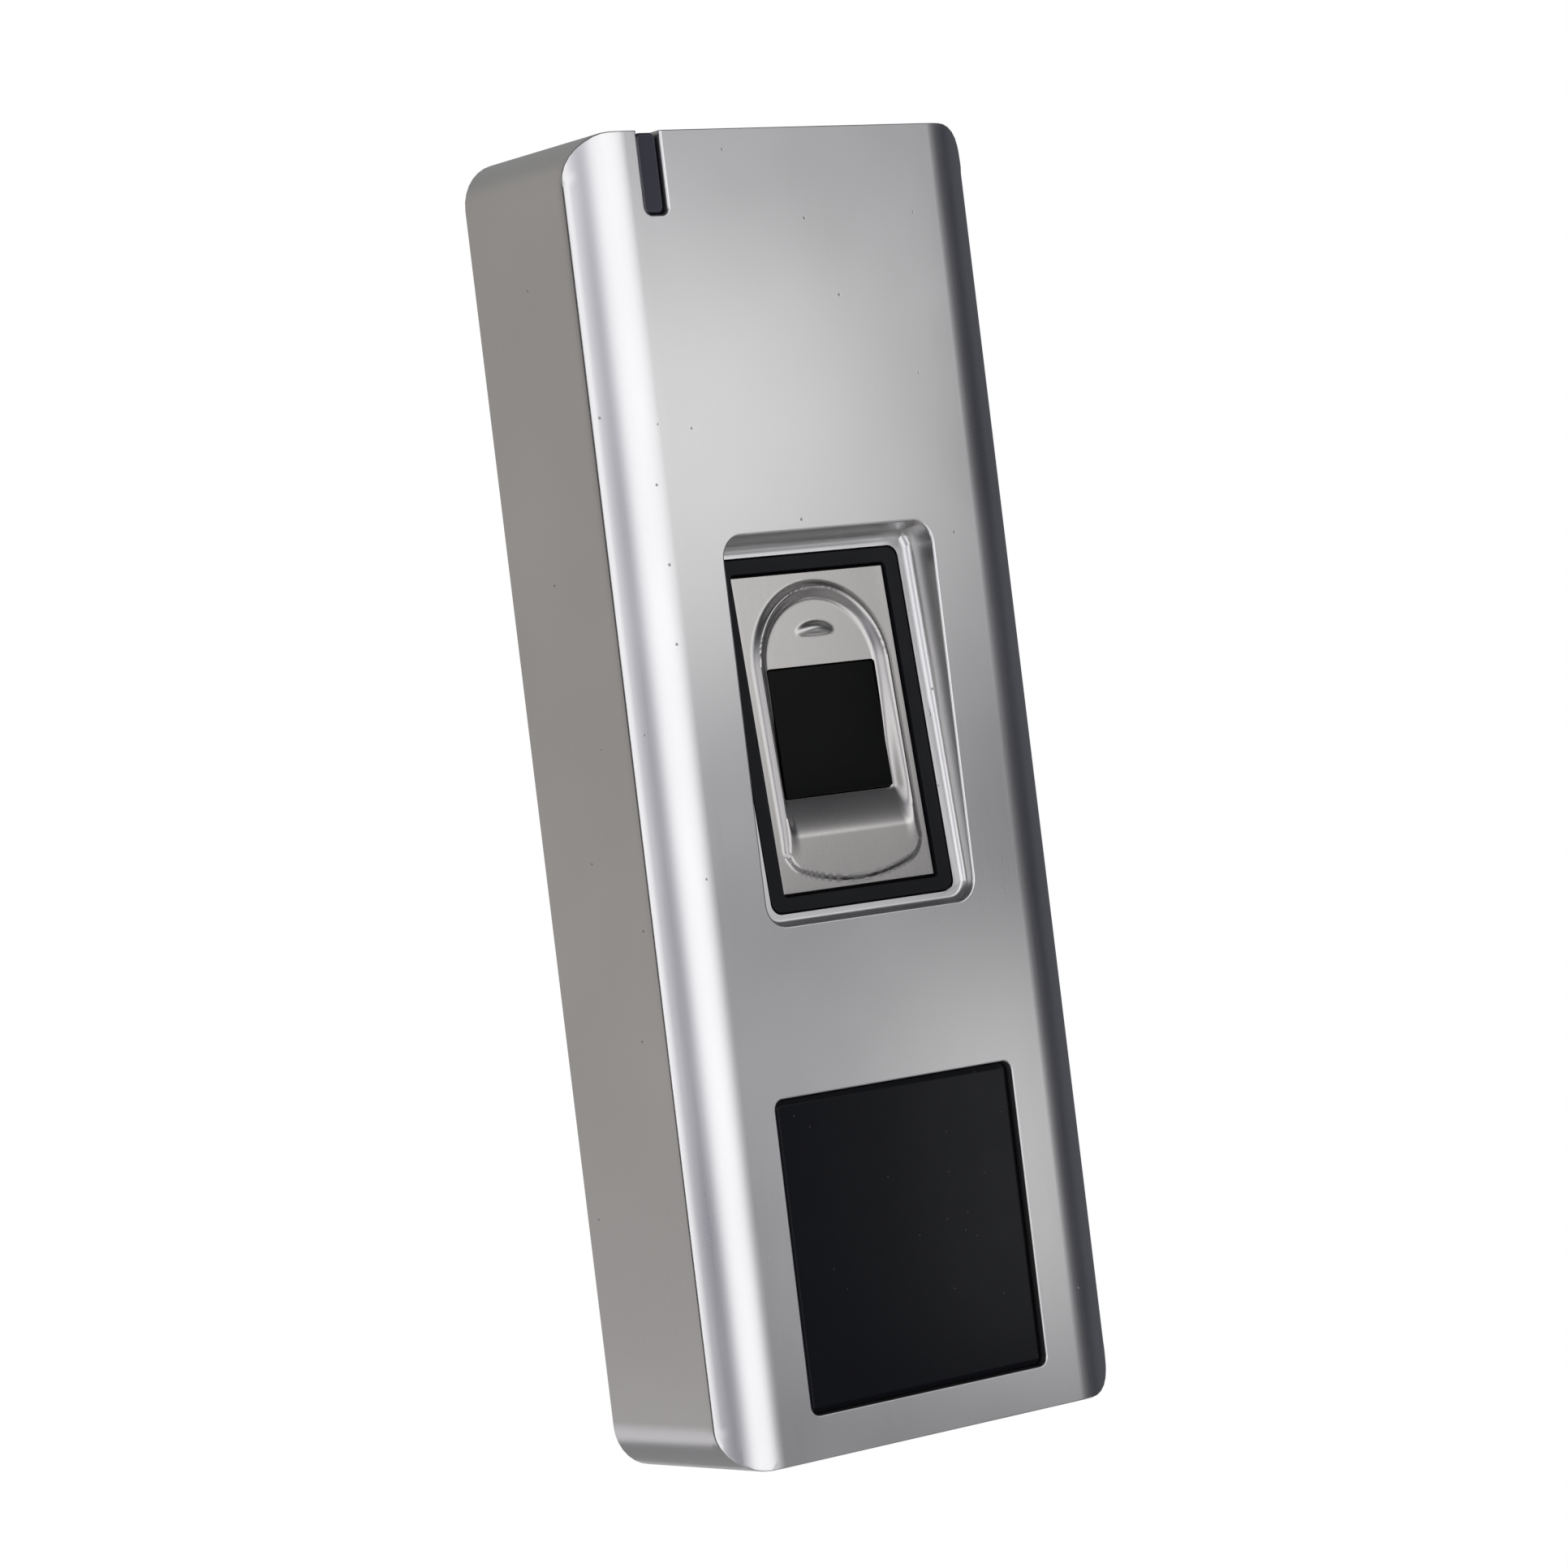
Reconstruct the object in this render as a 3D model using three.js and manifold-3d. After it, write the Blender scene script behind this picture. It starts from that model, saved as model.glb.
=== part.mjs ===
// Fingerprint scanner terminal on its wall bracket, in millimetres.
// X runs to the right seen from the front, Y runs into the wall, Z runs up.
// The wall is the plane y = 0, and z = 0 is half way up the terminal.
import * as THREE from 'three';
import { mergeVertices } from 'three/addons/utils/BufferGeometryUtils.js';
import Module from 'manifold-3d';

const wasm = await Module();
wasm.setup();

// ---------- driving dimensions ----------

// cast front shell
const WIDTH = 50;
const HEIGHT = 130;
const DEPTH = 20;           // wall to front face
const WALL = 2;
const CORNER = 4.5;         // radius of the outline's corners
const EDGE_RUN = 6.2;       // how far in from the side the long rounded edge starts
const EDGE_DROP = 2.8;      // how far that edge falls back at the side
const REAR_GAP = 0.3;       // rear rim stands off the wall
const LEDGE = 1.2;          // extra wall that the rear gasket sits on
const BOSS = 2.3;           // radius of the screw bosses
const BOSS_INSET = 2.4;     // boss axis to the shell's inside
const COVER_SCREW_TOP = 14; // shell top to the upper cover screws
const COVER_SCREW_LOW = 7;  // shell bottom to the lower ones

// finger pocket and the sensor in it, which leans back at the top
const SENSOR_Z = 5.5;       // middle of the sensor
const POCKET_WIDTH = 26.1;
const POCKET_HEIGHT = 38.3;
const POCKET_RISE = 0.45;   // middle of the pocket above the middle of the sensor
const POCKET_CORNER = 2.3;
const POCKET_TOP_DEPTH = 4.2;
const POCKET_BOTTOM_DEPTH = 1.2;
const POCKET_TOP_SLANT = 0.8;
const POCKET_WALL = 1.6;
const FLOOR = 1.5;          // thickness of the pocket's floor
const FRAME_WIDTH = 22.8;
const FRAME_HEIGHT = 35.05;
const FRAME_CORNER = 1.2;
const FRAME_SHELF = 1.1;    // ledge inside the frame that carries the bezel
const FLANGE_WIDTH = 38;
const FLANGE_HEIGHT = 38.6;
const FLANGE = 1.2;
const SENSOR_SCREW_INSET = 2.2; // flange edge to its screws
const SEAL = 0.7;
const BEZEL_WIDTH = 19.3;
const BEZEL_HEIGHT = 31.8;
const BEZEL_SINK = 0.35;    // bezel face below the frame's face
const BEZEL = 1.2;
const RIM_RADIUS = 8.65;    // arched rim round the fingertip rest
const RIM_WALL = 1.65;
const RIM_HEIGHT = 0.6;
const RIM_RISE = 6.3;       // centre of the arch above the middle of the sensor
const REST_SINK = 0.4;      // fingertip rest below the bezel's face
const REST_BOTTOM = 8.5;    // lower end of the rest below the middle of the sensor
const GLASS_WIDTH = 13.3;
const GLASS_HEIGHT = 12.75;
const GLASS = 0.8;
const HOUSING_WIDTH = 21;
const HOUSING_HEIGHT = 33;
const HOUSING_DEPTH = 3.5;
const HOUSING_WALL = 1.4;

// card window
const CARD_WIDTH = 30;
const CARD_HEIGHT = 30.9;
const CARD_FROM_BOTTOM = 4.3;
const CARD_CORNER = 1;
const CARD_SINK = 0.55;
const CARD_BEVEL = 0.7;
const CARD_LAP = 1.6;       // flange behind the hole's side edges
const CARD_LAP_ENDS = 0.8;  // and behind its top and bottom edges
const CARD_FLANGE = 1;
const TAPE = 0.2;

// status light slot, open at the top
const SLOT_FROM_SIDE = 7.6;
const SLOT_WIDTH = 2.7;
const SLOT_LENGTH = 8.2;
const SLOT_CORNER = 0.8;
const SLOT_PAST_WALL = 0.2; // how much deeper the slot is than the front wall
const LENS_SINK = 0.5;
const LED = 0.9;            // height of a light
const LED_HALF = 0.8;       // half its width
const LED_PITCH = 2;
const LED_BOARD_PLACE = 6.8; // front face of the light's board behind the shell's front
const LED_BOARD_WIDTH = 12;
const LED_BOARD_HEIGHT = 7.5;
const LED_BOARD_THICK = 1;
const LED_BOARD_LEFT = 2.6; // board edge to the slot's left edge
const LED_POST_RUN = 7;     // slot's left edge to the board's screw

// circuit boards
const BOARD = 1.6;
const BOARD_REAR = 5;       // wall to the main board's rear face
const BOARD_MARGIN = 0.3;   // board edge to the shell's inside
const BOARD_TOP = 18;       // shell top to the board's top edge
const BOARD_BOTTOM = 10.5;  // shell bottom to the board's bottom edge
const BOARD_SCREW_TOP = 3;  // board's top edge to its upper screws
const BOARD_SCREW_LOW = 5.8; // top of the card window to its lower screws
const ANTENNA_BOARD = 1;

// back cover, bracket and the hooks between them
const COVER = 2;
const COVER_REAR = 2;       // wall to the cover's rear face
const GASKET = 0.8;
const BRACKET = 1.5;
const BRACKET_MARGIN = 2.5; // bracket edge to the shell's inside
const HOOK_WIDTH = 6;
const HOOK_PLAY = 0.8;      // room beside a hook in its pocket
const HOOK_GAP = 0.3;       // hook pocket to the screw boss beside it
const HOOK_FROM_TOP = 10.25; // shell top to the top of the hook's arm
const HOOK_LIP = 3.25;      // how far the lip stands above the arm
const HOOK_THROAT = 4.4;    // plate to lip
const POCKET_SKIN = 1;      // wall of the cover's hook pockets
const CABLE_FROM_TOP = 11;
const CABLE_BORE = 3.4;
const GROMMET_NECK = 4.6;
const BRACKET_CABLE_HOLE = 6.5;
const WALL_SLOT_Z = 32;
const WALL_SLOT_WIDTH = 4.4;
const WALL_SLOT_LENGTH = 11;

// lock bay in the shell's bottom, and its screw
const BAY_HALF = 8;
const BAY_WALL = 1.5;
const BAY_TOP = 7.5;        // shell bottom to the bay's ceiling
const BAY_DEPTH = 12.5;     // wall to the bay's front end
const PAD = 1.2;            // thicker bottom under the lock screw
const TAB_HALF = 7;
const TAB_REACH = 12;
const TAB_LIFT = 4;         // shell bottom to the tab's underside
const LOCK_Y = 8;           // wall to the lock screw's axis
const LOCK_SHANK = 1.5;
const LOCK_HEAD = 2.6;
const LOCK_HEAD_HEIGHT = 1.6;

// tamper switch
const TAMPER_X = 13;
const TAMPER_Z = -36;
const TAMPER_PROUD = 1.2;   // plunger tip beyond the wall plane
const TAMPER_SHAFT = 1.4;

// small screws
const SCREW = 1;
const SCREW_HEAD = 1.9;
const SCREW_HEAD_HEIGHT = 1.3;
const SCREW_HEAD_LOW = 0.8; // flat heads under the back cover
const FIT = 0.15;           // clearance round a piece in its opening
const TURNED_GAP = 0.25;    // clearance between the leaning pieces

// ---------- places worked out from them ----------

const SIDE = WIDTH / 2;
const TOP = HEIGHT / 2;
const BOTTOM = -HEIGHT / 2;
const FRONT = -DEPTH;
const INNER_FRONT = FRONT + WALL;
const COVER_FRONT = -COVER_REAR - COVER;
const SEAT = COVER_FRONT - GASKET;
const INNER_SIDE = SIDE - WALL - LEDGE;
const INNER_TOP = TOP - WALL - LEDGE;
const BOARD_FRONT = -BOARD_REAR - BOARD;
const EDGE_RADIUS = (EDGE_RUN ** 2 + EDGE_DROP ** 2) / (2 * EDGE_DROP);
const CARD_Z0 = BOTTOM + CARD_FROM_BOTTOM;
const CARD_Z1 = CARD_Z0 + CARD_HEIGHT;
const SLOT_X0 = -SIDE + SLOT_FROM_SIDE;
const SLOT_X1 = SLOT_X0 + SLOT_WIDTH;
const SLOT_Z0 = TOP - SLOT_LENGTH;
const CABLE_Z = TOP - CABLE_FROM_TOP;
const HOOK_Z = TOP - HOOK_FROM_TOP;
const POCKET_Z = SENSOR_Z + POCKET_RISE;
const LEAN = Math.atan((POCKET_TOP_DEPTH - POCKET_BOTTOM_DEPTH) / POCKET_HEIGHT);
const BOSS_X = INNER_SIDE - BOSS_INSET;
const HOOK_X = BOSS_X - BOSS - HOOK_GAP - POCKET_SKIN - HOOK_PLAY - HOOK_WIDTH / 2;
const SLOT_DEPTH = WALL + SLOT_PAST_WALL;
const SENSOR_DEPTH = (POCKET_TOP_DEPTH + POCKET_BOTTOM_DEPTH) / 2 - POCKET_RISE * Math.tan(LEAN);

// ---------- shapes ----------

const CURVE = 4;          // arcs are drawn in twice this many straight steps
const geometryOptions = (depth) => ({ depth, bevelEnabled: false, curveSegments: CURVE });

// closed geometry to a solid that can be joined and cut
function solid(geometry) {
  const plain = geometry.index ? geometry.toNonIndexed() : geometry.clone();
  for (const key of Object.keys(plain.attributes)) {
    if (key !== 'position') plain.deleteAttribute(key);
  }
  const merged = mergeVertices(plain, 1e-4);
  return new wasm.Manifold(new wasm.Mesh({
    numProp: 3,
    vertProperties: new Float32Array(merged.attributes.position.array),
    triVerts: new Uint32Array(merged.index.array),
  }));
}

function geometryOf(body) {
  const { vertProperties, triVerts } = body.getMesh();
  const geometry = new THREE.BufferGeometry();
  geometry.setAttribute('position', new THREE.BufferAttribute(new Float32Array(vertProperties), 3));
  geometry.setIndex(new THREE.BufferAttribute(new Uint32Array(triVerts), 1));
  return geometry;
}

const join = (first, ...rest) => rest.reduce((sum, body) => sum.add(body), first);
const cut = (first, ...rest) => rest.reduce((left, body) => left.subtract(body), first);

function box(x0, x1, y0, y1, z0, z1) {
  const geometry = new THREE.BoxGeometry(x1 - x0, y1 - y0, z1 - z0);
  return solid(geometry.translate((x0 + x1) / 2, (y0 + y1) / 2, (z0 + z1) / 2));
}

// rectangle in x and z, centred at (x, z), with round corners
function roundRect(x, z, width, height, radius) {
  const shape = new THREE.Shape();
  const r = Math.min(radius, width / 2 - 0.01, height / 2 - 0.01);
  const left = x - width / 2;
  const right = x + width / 2;
  const low = z - height / 2;
  const high = z + height / 2;
  shape.moveTo(left + r, low);
  shape.absarc(right - r, low + r, r, -Math.PI / 2, 0);
  shape.absarc(right - r, high - r, r, 0, Math.PI / 2);
  shape.absarc(left + r, high - r, r, Math.PI / 2, Math.PI);
  shape.absarc(left + r, low + r, r, Math.PI, Math.PI * 1.5);
  return shape;
}

// outline in x and z made solid from y0 back to y1
function plate(shape, y0, y1) {
  const geometry = new THREE.ExtrudeGeometry(shape, geometryOptions(y1 - y0));
  return solid(geometry.rotateX(Math.PI / 2).translate(0, y1, 0));
}

// outline in y and z made solid from x0 to x1
function bar(points, x0, x1) {
  const shape = new THREE.Shape(points.map(([y, z]) => new THREE.Vector2(y, z)));
  const geometry = new THREE.ExtrudeGeometry(shape, geometryOptions(x1 - x0));
  const turn = new THREE.Matrix4().set(0, 0, 1, x0, 1, 0, 0, 0, 0, 1, 0, 0, 0, 0, 0, 1);
  return solid(geometry.applyMatrix4(turn));
}

// round rod along Y, and one along Z
function rodY(x, z, radius, y0, y1, sides = 20) {
  const geometry = new THREE.CylinderGeometry(radius, radius, y1 - y0, sides);
  return solid(geometry.translate(x, (y0 + y1) / 2, z));
}

function rodZ(x, y, radius, z0, z1, sides = 20) {
  const geometry = new THREE.CylinderGeometry(radius, radius, z1 - z0, sides);
  return solid(geometry.rotateX(Math.PI / 2).translate(x, y, (z0 + z1) / 2));
}

// thin insulated lead through a list of points
function lead(points, radius) {
  const path = new THREE.CatmullRomCurve3(points.map((p) => new THREE.Vector3(...p)));
  const section = new THREE.Shape().absarc(0, 0, radius, 0, Math.PI * 2);
  const options = { steps: 10, bevelEnabled: false, curveSegments: CURVE, extrudePath: path };
  return solid(new THREE.ExtrudeGeometry(section, options));
}

// ---------- materials ----------

const finish = (color, roughness, metalness) =>
  new THREE.MeshStandardMaterial({ color, roughness, metalness });
const castMetal = finish(0x9a9895, 0.42, 0.9);
const bezelMetal = finish(0xafafac, 0.38, 1);
const steel = finish(0x8d9092, 0.4, 1);
const brass = finish(0xb08d4a, 0.4, 1);
const copper = finish(0xb4693c, 0.35, 1);
const blackPlastic = finish(0x1c1d21, 0.5, 0);
const blackGloss = finish(0x121214, 0.12, 0);
const smokedPlastic = finish(0x32323a, 0.2, 0);
const clearGlass = finish(0xb9c6c4, 0.05, 0);
const rubber = finish(0x18181a, 0.85, 0);
const tape = finish(0x2a2a2c, 0.8, 0);
const boardGreen = finish(0x1d5238, 0.5, 0);
const chipBlack = finish(0x1a1a1b, 0.6, 0);
const headerWhite = finish(0xd9d7cf, 0.5, 0);
const relayBlue = finish(0x2f4f86, 0.45, 0);
const sleeveBlue = finish(0x3b4a7d, 0.4, 0);
const ledRed = finish(0xb8302a, 0.3, 0);
const ledGreen = finish(0x3f9a4a, 0.3, 0);

const terminal = new THREE.Group();
const sensor = new THREE.Group();
sensor.position.set(0, FRONT + SENSOR_DEPTH, SENSOR_Z);
sensor.rotation.x = -LEAN;
terminal.add(sensor);
sensor.updateMatrix();

function piece(name, body, material, group = terminal) {
  const mesh = new THREE.Mesh(geometryOf(body), material);
  mesh.name = name;
  group.add(mesh);
}

// a solid drawn in the leaning sensor's own frame, moved to where it lies
const leaning = (body) => body.transform(sensor.matrix.elements);
const behind = (y) => leaning(box(-60, 60, y, 60, -90, 90));

// ---------- places of the screws ----------

const fourScrews = (x, high, low) => [[x, high], [-x, high], [x, low], [-x, low]];
const COVER_SCREWS = fourScrews(BOSS_X, TOP - COVER_SCREW_TOP, BOTTOM + COVER_SCREW_LOW);
const BOARD_SCREWS = fourScrews(BOSS_X, TOP - BOARD_TOP - BOARD_SCREW_TOP, CARD_Z1 + BOARD_SCREW_LOW);
const SENSOR_SCREW_X = FLANGE_WIDTH / 2 - SENSOR_SCREW_INSET;
const SENSOR_SCREW_Z = FLANGE_HEIGHT / 2 - 2 * SENSOR_SCREW_INSET;
const SENSOR_SCREWS = fourScrews(SENSOR_SCREW_X, SENSOR_SCREW_Z, -SENSOR_SCREW_Z);

const FLANGE_Y = FLOOR + TURNED_GAP + SEAL + TURNED_GAP;
const FLANGE_REAR = FLANGE_Y + FLANGE;

// ---------- front shell ----------

// section across the shell: flat front, long rounded edges, straight sides
function shellBar(inset, rear, z0, z1) {
  const half = SIDE - inset;
  const centreX = SIDE - EDGE_RUN;
  const centreY = FRONT + EDGE_RADIUS;
  const radius = EDGE_RADIUS - Math.min(inset, WALL);
  const sweep = Math.asin((half - centreX) / radius);
  const shape = new THREE.Shape();
  shape.moveTo(half, rear);
  shape.lineTo(-half, rear);
  shape.absarc(-centreX, centreY, radius, -Math.PI / 2 - sweep, -Math.PI / 2);
  shape.absarc(centreX, centreY, radius, -Math.PI / 2, -Math.PI / 2 + sweep);
  const geometry = new THREE.ExtrudeGeometry(shape, geometryOptions(z1 - z0));
  return solid(geometry.translate(0, 0, z0));
}

function shellBody(inset, rear) {
  const outline = roundRect(0, 0, WIDTH - 2 * inset, HEIGHT - 2 * inset, CORNER - Math.min(inset, WALL));
  return shellBar(inset, rear, BOTTOM - 1, TOP + 1).intersect(plate(outline, FRONT - 1, rear));
}

function pocketOutline(grow) {
  return roundRect(0, POCKET_Z, POCKET_WIDTH + 2 * grow, POCKET_HEIGHT + 2 * grow, POCKET_CORNER + grow);
}

// screw boss standing on the front wall, with a web to the nearer side wall
function boss(x, z, rear) {
  const out = Math.sign(x);
  const web = [x, out * (INNER_SIDE + 0.5)].sort((a, b) => a - b);
  return join(rodY(x, z, BOSS, INNER_FRONT - 0.5, rear), box(...web, INNER_FRONT - 0.5, rear, z - 1, z + 1));
}

const bayCeiling = BOTTOM + BAY_TOP;
const bayRoof = bayCeiling + BAY_WALL + 0.5;
const padTop = BOTTOM + WALL + PAD;
const insertTop = bayCeiling + 0.8;
const insertLow = bayCeiling - 1.5;
const INSERT = 2.3;

function frontShell() {
  const walls = cut(
    shellBody(0, -REAR_GAP),
    shellBody(WALL + LEDGE, SEAT),
    plate(roundRect(0, 0, WIDTH - 2 * WALL, HEIGHT - 2 * WALL, CORNER - WALL), SEAT, 1),
  );

  const pocketBlock = cut(plate(pocketOutline(POCKET_WALL), INNER_FRONT - 1, 0), behind(FLOOR));
  const sensorBosses = SENSOR_SCREWS.map(([x, z]) =>
    cut(rodY(x, SENSOR_Z + z, BOSS, INNER_FRONT - 0.5, 0), behind(FLANGE_Y - TURNED_GAP)));
  const bosses = [
    ...COVER_SCREWS.map(([x, z]) => boss(x, z, SEAT)),
    ...BOARD_SCREWS.map(([x, z]) => boss(x, z, BOARD_FRONT)),
  ];
  const ledPost = rodY(LED_POST_X, LED_POST_Z, BOSS - 0.5, INNER_FRONT - 0.5, LED_BOARD_FRONT);
  const bayOut = BAY_HALF + BAY_WALL;
  const bay = cut(
    box(-bayOut, bayOut, -BAY_DEPTH - BAY_WALL, SEAT, BOTTOM + WALL / 2, bayRoof),
    box(-BAY_HALF, BAY_HALF, -BAY_DEPTH, 0, padTop, bayCeiling),
  );
  const insertBoss = rodZ(0, -LOCK_Y, INSERT + 0.9, insertLow, bayCeiling + 0.3);
  const built = join(walls, pocketBlock, ...sensorBosses, ...bosses, ledPost, bay, insertBoss);

  const slant = bar([
    [FRONT - 1, POCKET_Z + POCKET_HEIGHT / 2],
    [FRONT, POCKET_Z + POCKET_HEIGHT / 2],
    [FRONT + POCKET_TOP_DEPTH, POCKET_Z + POCKET_HEIGHT / 2 - POCKET_TOP_SLANT],
    [FRONT + 2 * POCKET_TOP_DEPTH, POCKET_Z + POCKET_HEIGHT / 2 - 2 * POCKET_TOP_SLANT],
    [FRONT + 2 * POCKET_TOP_DEPTH, POCKET_Z + POCKET_HEIGHT],
    [FRONT - 1, POCKET_Z + POCKET_HEIGHT],
  ], -SIDE, SIDE);
  const pocket = cut(plate(pocketOutline(0), FRONT - 1, 0), behind(0), slant);
  const frameHole = leaning(plate(
    roundRect(0, 0, FRAME_WIDTH + 2 * FIT, FRAME_HEIGHT + 2 * FIT, FRAME_CORNER), -2, FLOOR + 1));
  const cardHole = plate(
    roundRect(0, (CARD_Z0 + CARD_Z1) / 2, CARD_WIDTH, CARD_HEIGHT, CARD_CORNER), FRONT - 1, INNER_FRONT + 1);
  const slot = plate(
    roundRect((SLOT_X0 + SLOT_X1) / 2, SLOT_Z0 + SLOT_LENGTH, SLOT_WIDTH, 2 * SLOT_LENGTH, SLOT_CORNER),
    FRONT - 1, FRONT + SLOT_DEPTH);
  const screwHoles = [
    ...COVER_SCREWS.map(([x, z]) => rodY(x, z, SCREW + 0.1, SEAT - 5, SEAT + 1, 12)),
    ...BOARD_SCREWS.map(([x, z]) => rodY(x, z, SCREW + 0.1, BOARD_FRONT - 5, BOARD_FRONT + 1, 12)),
    ...SENSOR_SCREWS.map(([x, z]) => leaning(rodY(x, z, SCREW + FIT, FLANGE_REAR - 5, FLANGE_REAR, 12))),
    rodY(LED_POST_X, LED_POST_Z, SCREW + 0.1, LED_BOARD_FRONT - 3.5, LED_BOARD_FRONT + 1, 12),
  ];
  const lockHole = join(
    rodZ(0, -LOCK_Y, LOCK_SHANK + FIT, BOTTOM - 1, padTop + 1),
    rodZ(0, -LOCK_Y, LOCK_HEAD + 0.3, BOTTOM - 1, BOTTOM + LOCK_HEAD_HEIGHT + 0.3),
    rodZ(0, -LOCK_Y, INSERT + 0.02, insertLow - 1, insertTop),
  );
  return cut(built, pocket, frameHole, cardHole, slot, ...screwHoles, lockHole);
}

// ---------- status light ----------

const SLOT_X = (SLOT_X0 + SLOT_X1) / 2;
const STEM_HALF = 1;        // half the lens's stem, which reaches back to the lights
const LED_Z1 = INNER_TOP - STEM_HALF - 0.1;
const LED_Z = [LED_Z1 - LED_PITCH, LED_Z1];
const LED_BOARD_FRONT = FRONT + LED_BOARD_PLACE;
const LED_BOARD_REAR = LED_BOARD_FRONT + LED_BOARD_THICK;
const LED_BOARD_X0 = SLOT_X0 - LED_BOARD_LEFT;
const LED_BOARD_X1 = LED_BOARD_X0 + LED_BOARD_WIDTH;
const LED_BOARD_Z1 = INNER_TOP - BOARD_MARGIN;
const LED_BOARD_Z0 = LED_BOARD_Z1 - LED_BOARD_HEIGHT;
const LED_POST_X = SLOT_X0 + LED_POST_RUN;
const LED_POST_Z = (LED_BOARD_Z0 + LED_BOARD_Z1) / 2;

piece('front_shell', frontShell(), castMetal);
const lensOutline = roundRect(
  SLOT_X, (SLOT_Z0 + TOP) / 2, SLOT_WIDTH - 2 * FIT, SLOT_LENGTH - 2 * FIT, SLOT_CORNER - FIT);
piece('led_lens', join(
  plate(lensOutline, FRONT + LENS_SINK, FRONT + SLOT_DEPTH - FIT),
  box(SLOT_X - STEM_HALF, SLOT_X + STEM_HALF, FRONT + SLOT_DEPTH - 0.5, LED_BOARD_FRONT - LED - 0.3,
    LED_Z[0] - STEM_HALF, LED_Z[1] + STEM_HALF),
), smokedPlastic);
piece('led_board', cut(
  box(LED_BOARD_X0, LED_BOARD_X1, LED_BOARD_FRONT, LED_BOARD_REAR, LED_BOARD_Z0, LED_BOARD_Z1),
  rodY(LED_POST_X, LED_POST_Z, SCREW + FIT, LED_BOARD_FRONT - 1, LED_BOARD_REAR + 1, 12),
), boardGreen);
const ledMaterials = { red: ledRed, green: ledGreen };
Object.entries(ledMaterials).forEach(([colour, material], i) => {
  piece(`status_led_${colour}`, join(
    box(SLOT_X - LED_HALF, SLOT_X + LED_HALF, LED_BOARD_FRONT - LED / 2, LED_BOARD_FRONT,
      LED_Z[i] - LED_HALF, LED_Z[i] + LED_HALF),
    rodY(SLOT_X, LED_Z[i], 0.55, LED_BOARD_FRONT - LED, LED_BOARD_FRONT - LED / 3, 10),
  ), material);
});

// pan-head screw driven towards the front, its head's underside at y
function screw(x, z, y, length, headHeight = SCREW_HEAD_HEIGHT) {
  const head = rodY(x, z, SCREW_HEAD, y, y + headHeight, 16);
  const shank = rodY(x, z, SCREW, y - length, y + 0.2, 12);
  const driveFloor = y + headHeight / 2;
  const drive = join(
    box(x - 0.9, x + 0.9, driveFloor, y + 3, z - 0.2, z + 0.2),
    box(x - 0.2, x + 0.2, driveFloor, y + 3, z - 0.9, z + 0.9),
  );
  return cut(join(head, shank), drive);
}

piece('led_board_screw', screw(LED_POST_X, LED_POST_Z, LED_BOARD_REAR, 4), steel);

// ---------- sensor, drawn in its own leaning frame ----------

const FRAME_INNER_WIDTH = BEZEL_WIDTH + 2 * FIT;
const FRAME_INNER_HEIGHT = BEZEL_HEIGHT + 2 * FIT;
const SHELF_Y = BEZEL_SINK + BEZEL + TURNED_GAP;
const SNOUT_WIDTH = FRAME_INNER_WIDTH - 2 * FRAME_SHELF - 2 * TURNED_GAP;
const SNOUT_HEIGHT = FRAME_INNER_HEIGHT - 2 * FRAME_SHELF - 2 * TURNED_GAP;
const SNOUT_FRONT = BEZEL_SINK + BEZEL + 2 * TURNED_GAP;
const HOUSING_FRONT = FLANGE_REAR + TURNED_GAP;
const HOUSING_REAR = HOUSING_FRONT + HOUSING_DEPTH;
const GLASS_FRONT = BEZEL_SINK + REST_SINK;

function sensorFrame() {
  const body = join(
    plate(roundRect(0, 0, FRAME_WIDTH, FRAME_HEIGHT, FRAME_CORNER), 0, FLANGE_REAR - 0.2),
    plate(roundRect(0, 0, FLANGE_WIDTH, FLANGE_HEIGHT, POCKET_CORNER), FLANGE_Y, FLANGE_REAR),
  );
  return cut(
    body,
    plate(roundRect(0, 0, FRAME_INNER_WIDTH, FRAME_INNER_HEIGHT, 0.6), -1, SHELF_Y),
    plate(roundRect(0, 0, SNOUT_WIDTH + 2 * TURNED_GAP, SNOUT_HEIGHT + 2 * TURNED_GAP, 0.6), 0, HOUSING_REAR),
    ...SENSOR_SCREWS.map(([x, z]) => rodY(x, z, SCREW + FIT, 0, HOUSING_REAR, 12)),
  );
}
piece('sensor_frame', sensorFrame(), blackPlastic, sensor);

piece('sensor_seal', cut(
  plate(pocketSeal(1.2), FLOOR + TURNED_GAP, FLOOR + TURNED_GAP + SEAL),
  plate(roundRect(0, 0, FRAME_WIDTH + 1, FRAME_HEIGHT + 1, FRAME_CORNER), 0, FLANGE_Y),
), rubber, sensor);

function pocketSeal(grow) {
  return roundRect(0, POCKET_RISE, POCKET_WIDTH + 2 * grow, POCKET_HEIGHT + 2 * grow - 1.5, POCKET_CORNER);
}

// arch-topped outline of the fingertip rest
function archOutline(radius, bottom, corner) {
  const shape = new THREE.Shape();
  shape.moveTo(-radius + corner, -bottom);
  shape.absarc(radius - corner, -bottom + corner, corner, -Math.PI / 2, 0);
  shape.absarc(0, RIM_RISE, radius, 0, Math.PI);
  shape.absarc(-radius + corner, -bottom + corner, corner, Math.PI, Math.PI * 1.5);
  return shape;
}

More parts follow.
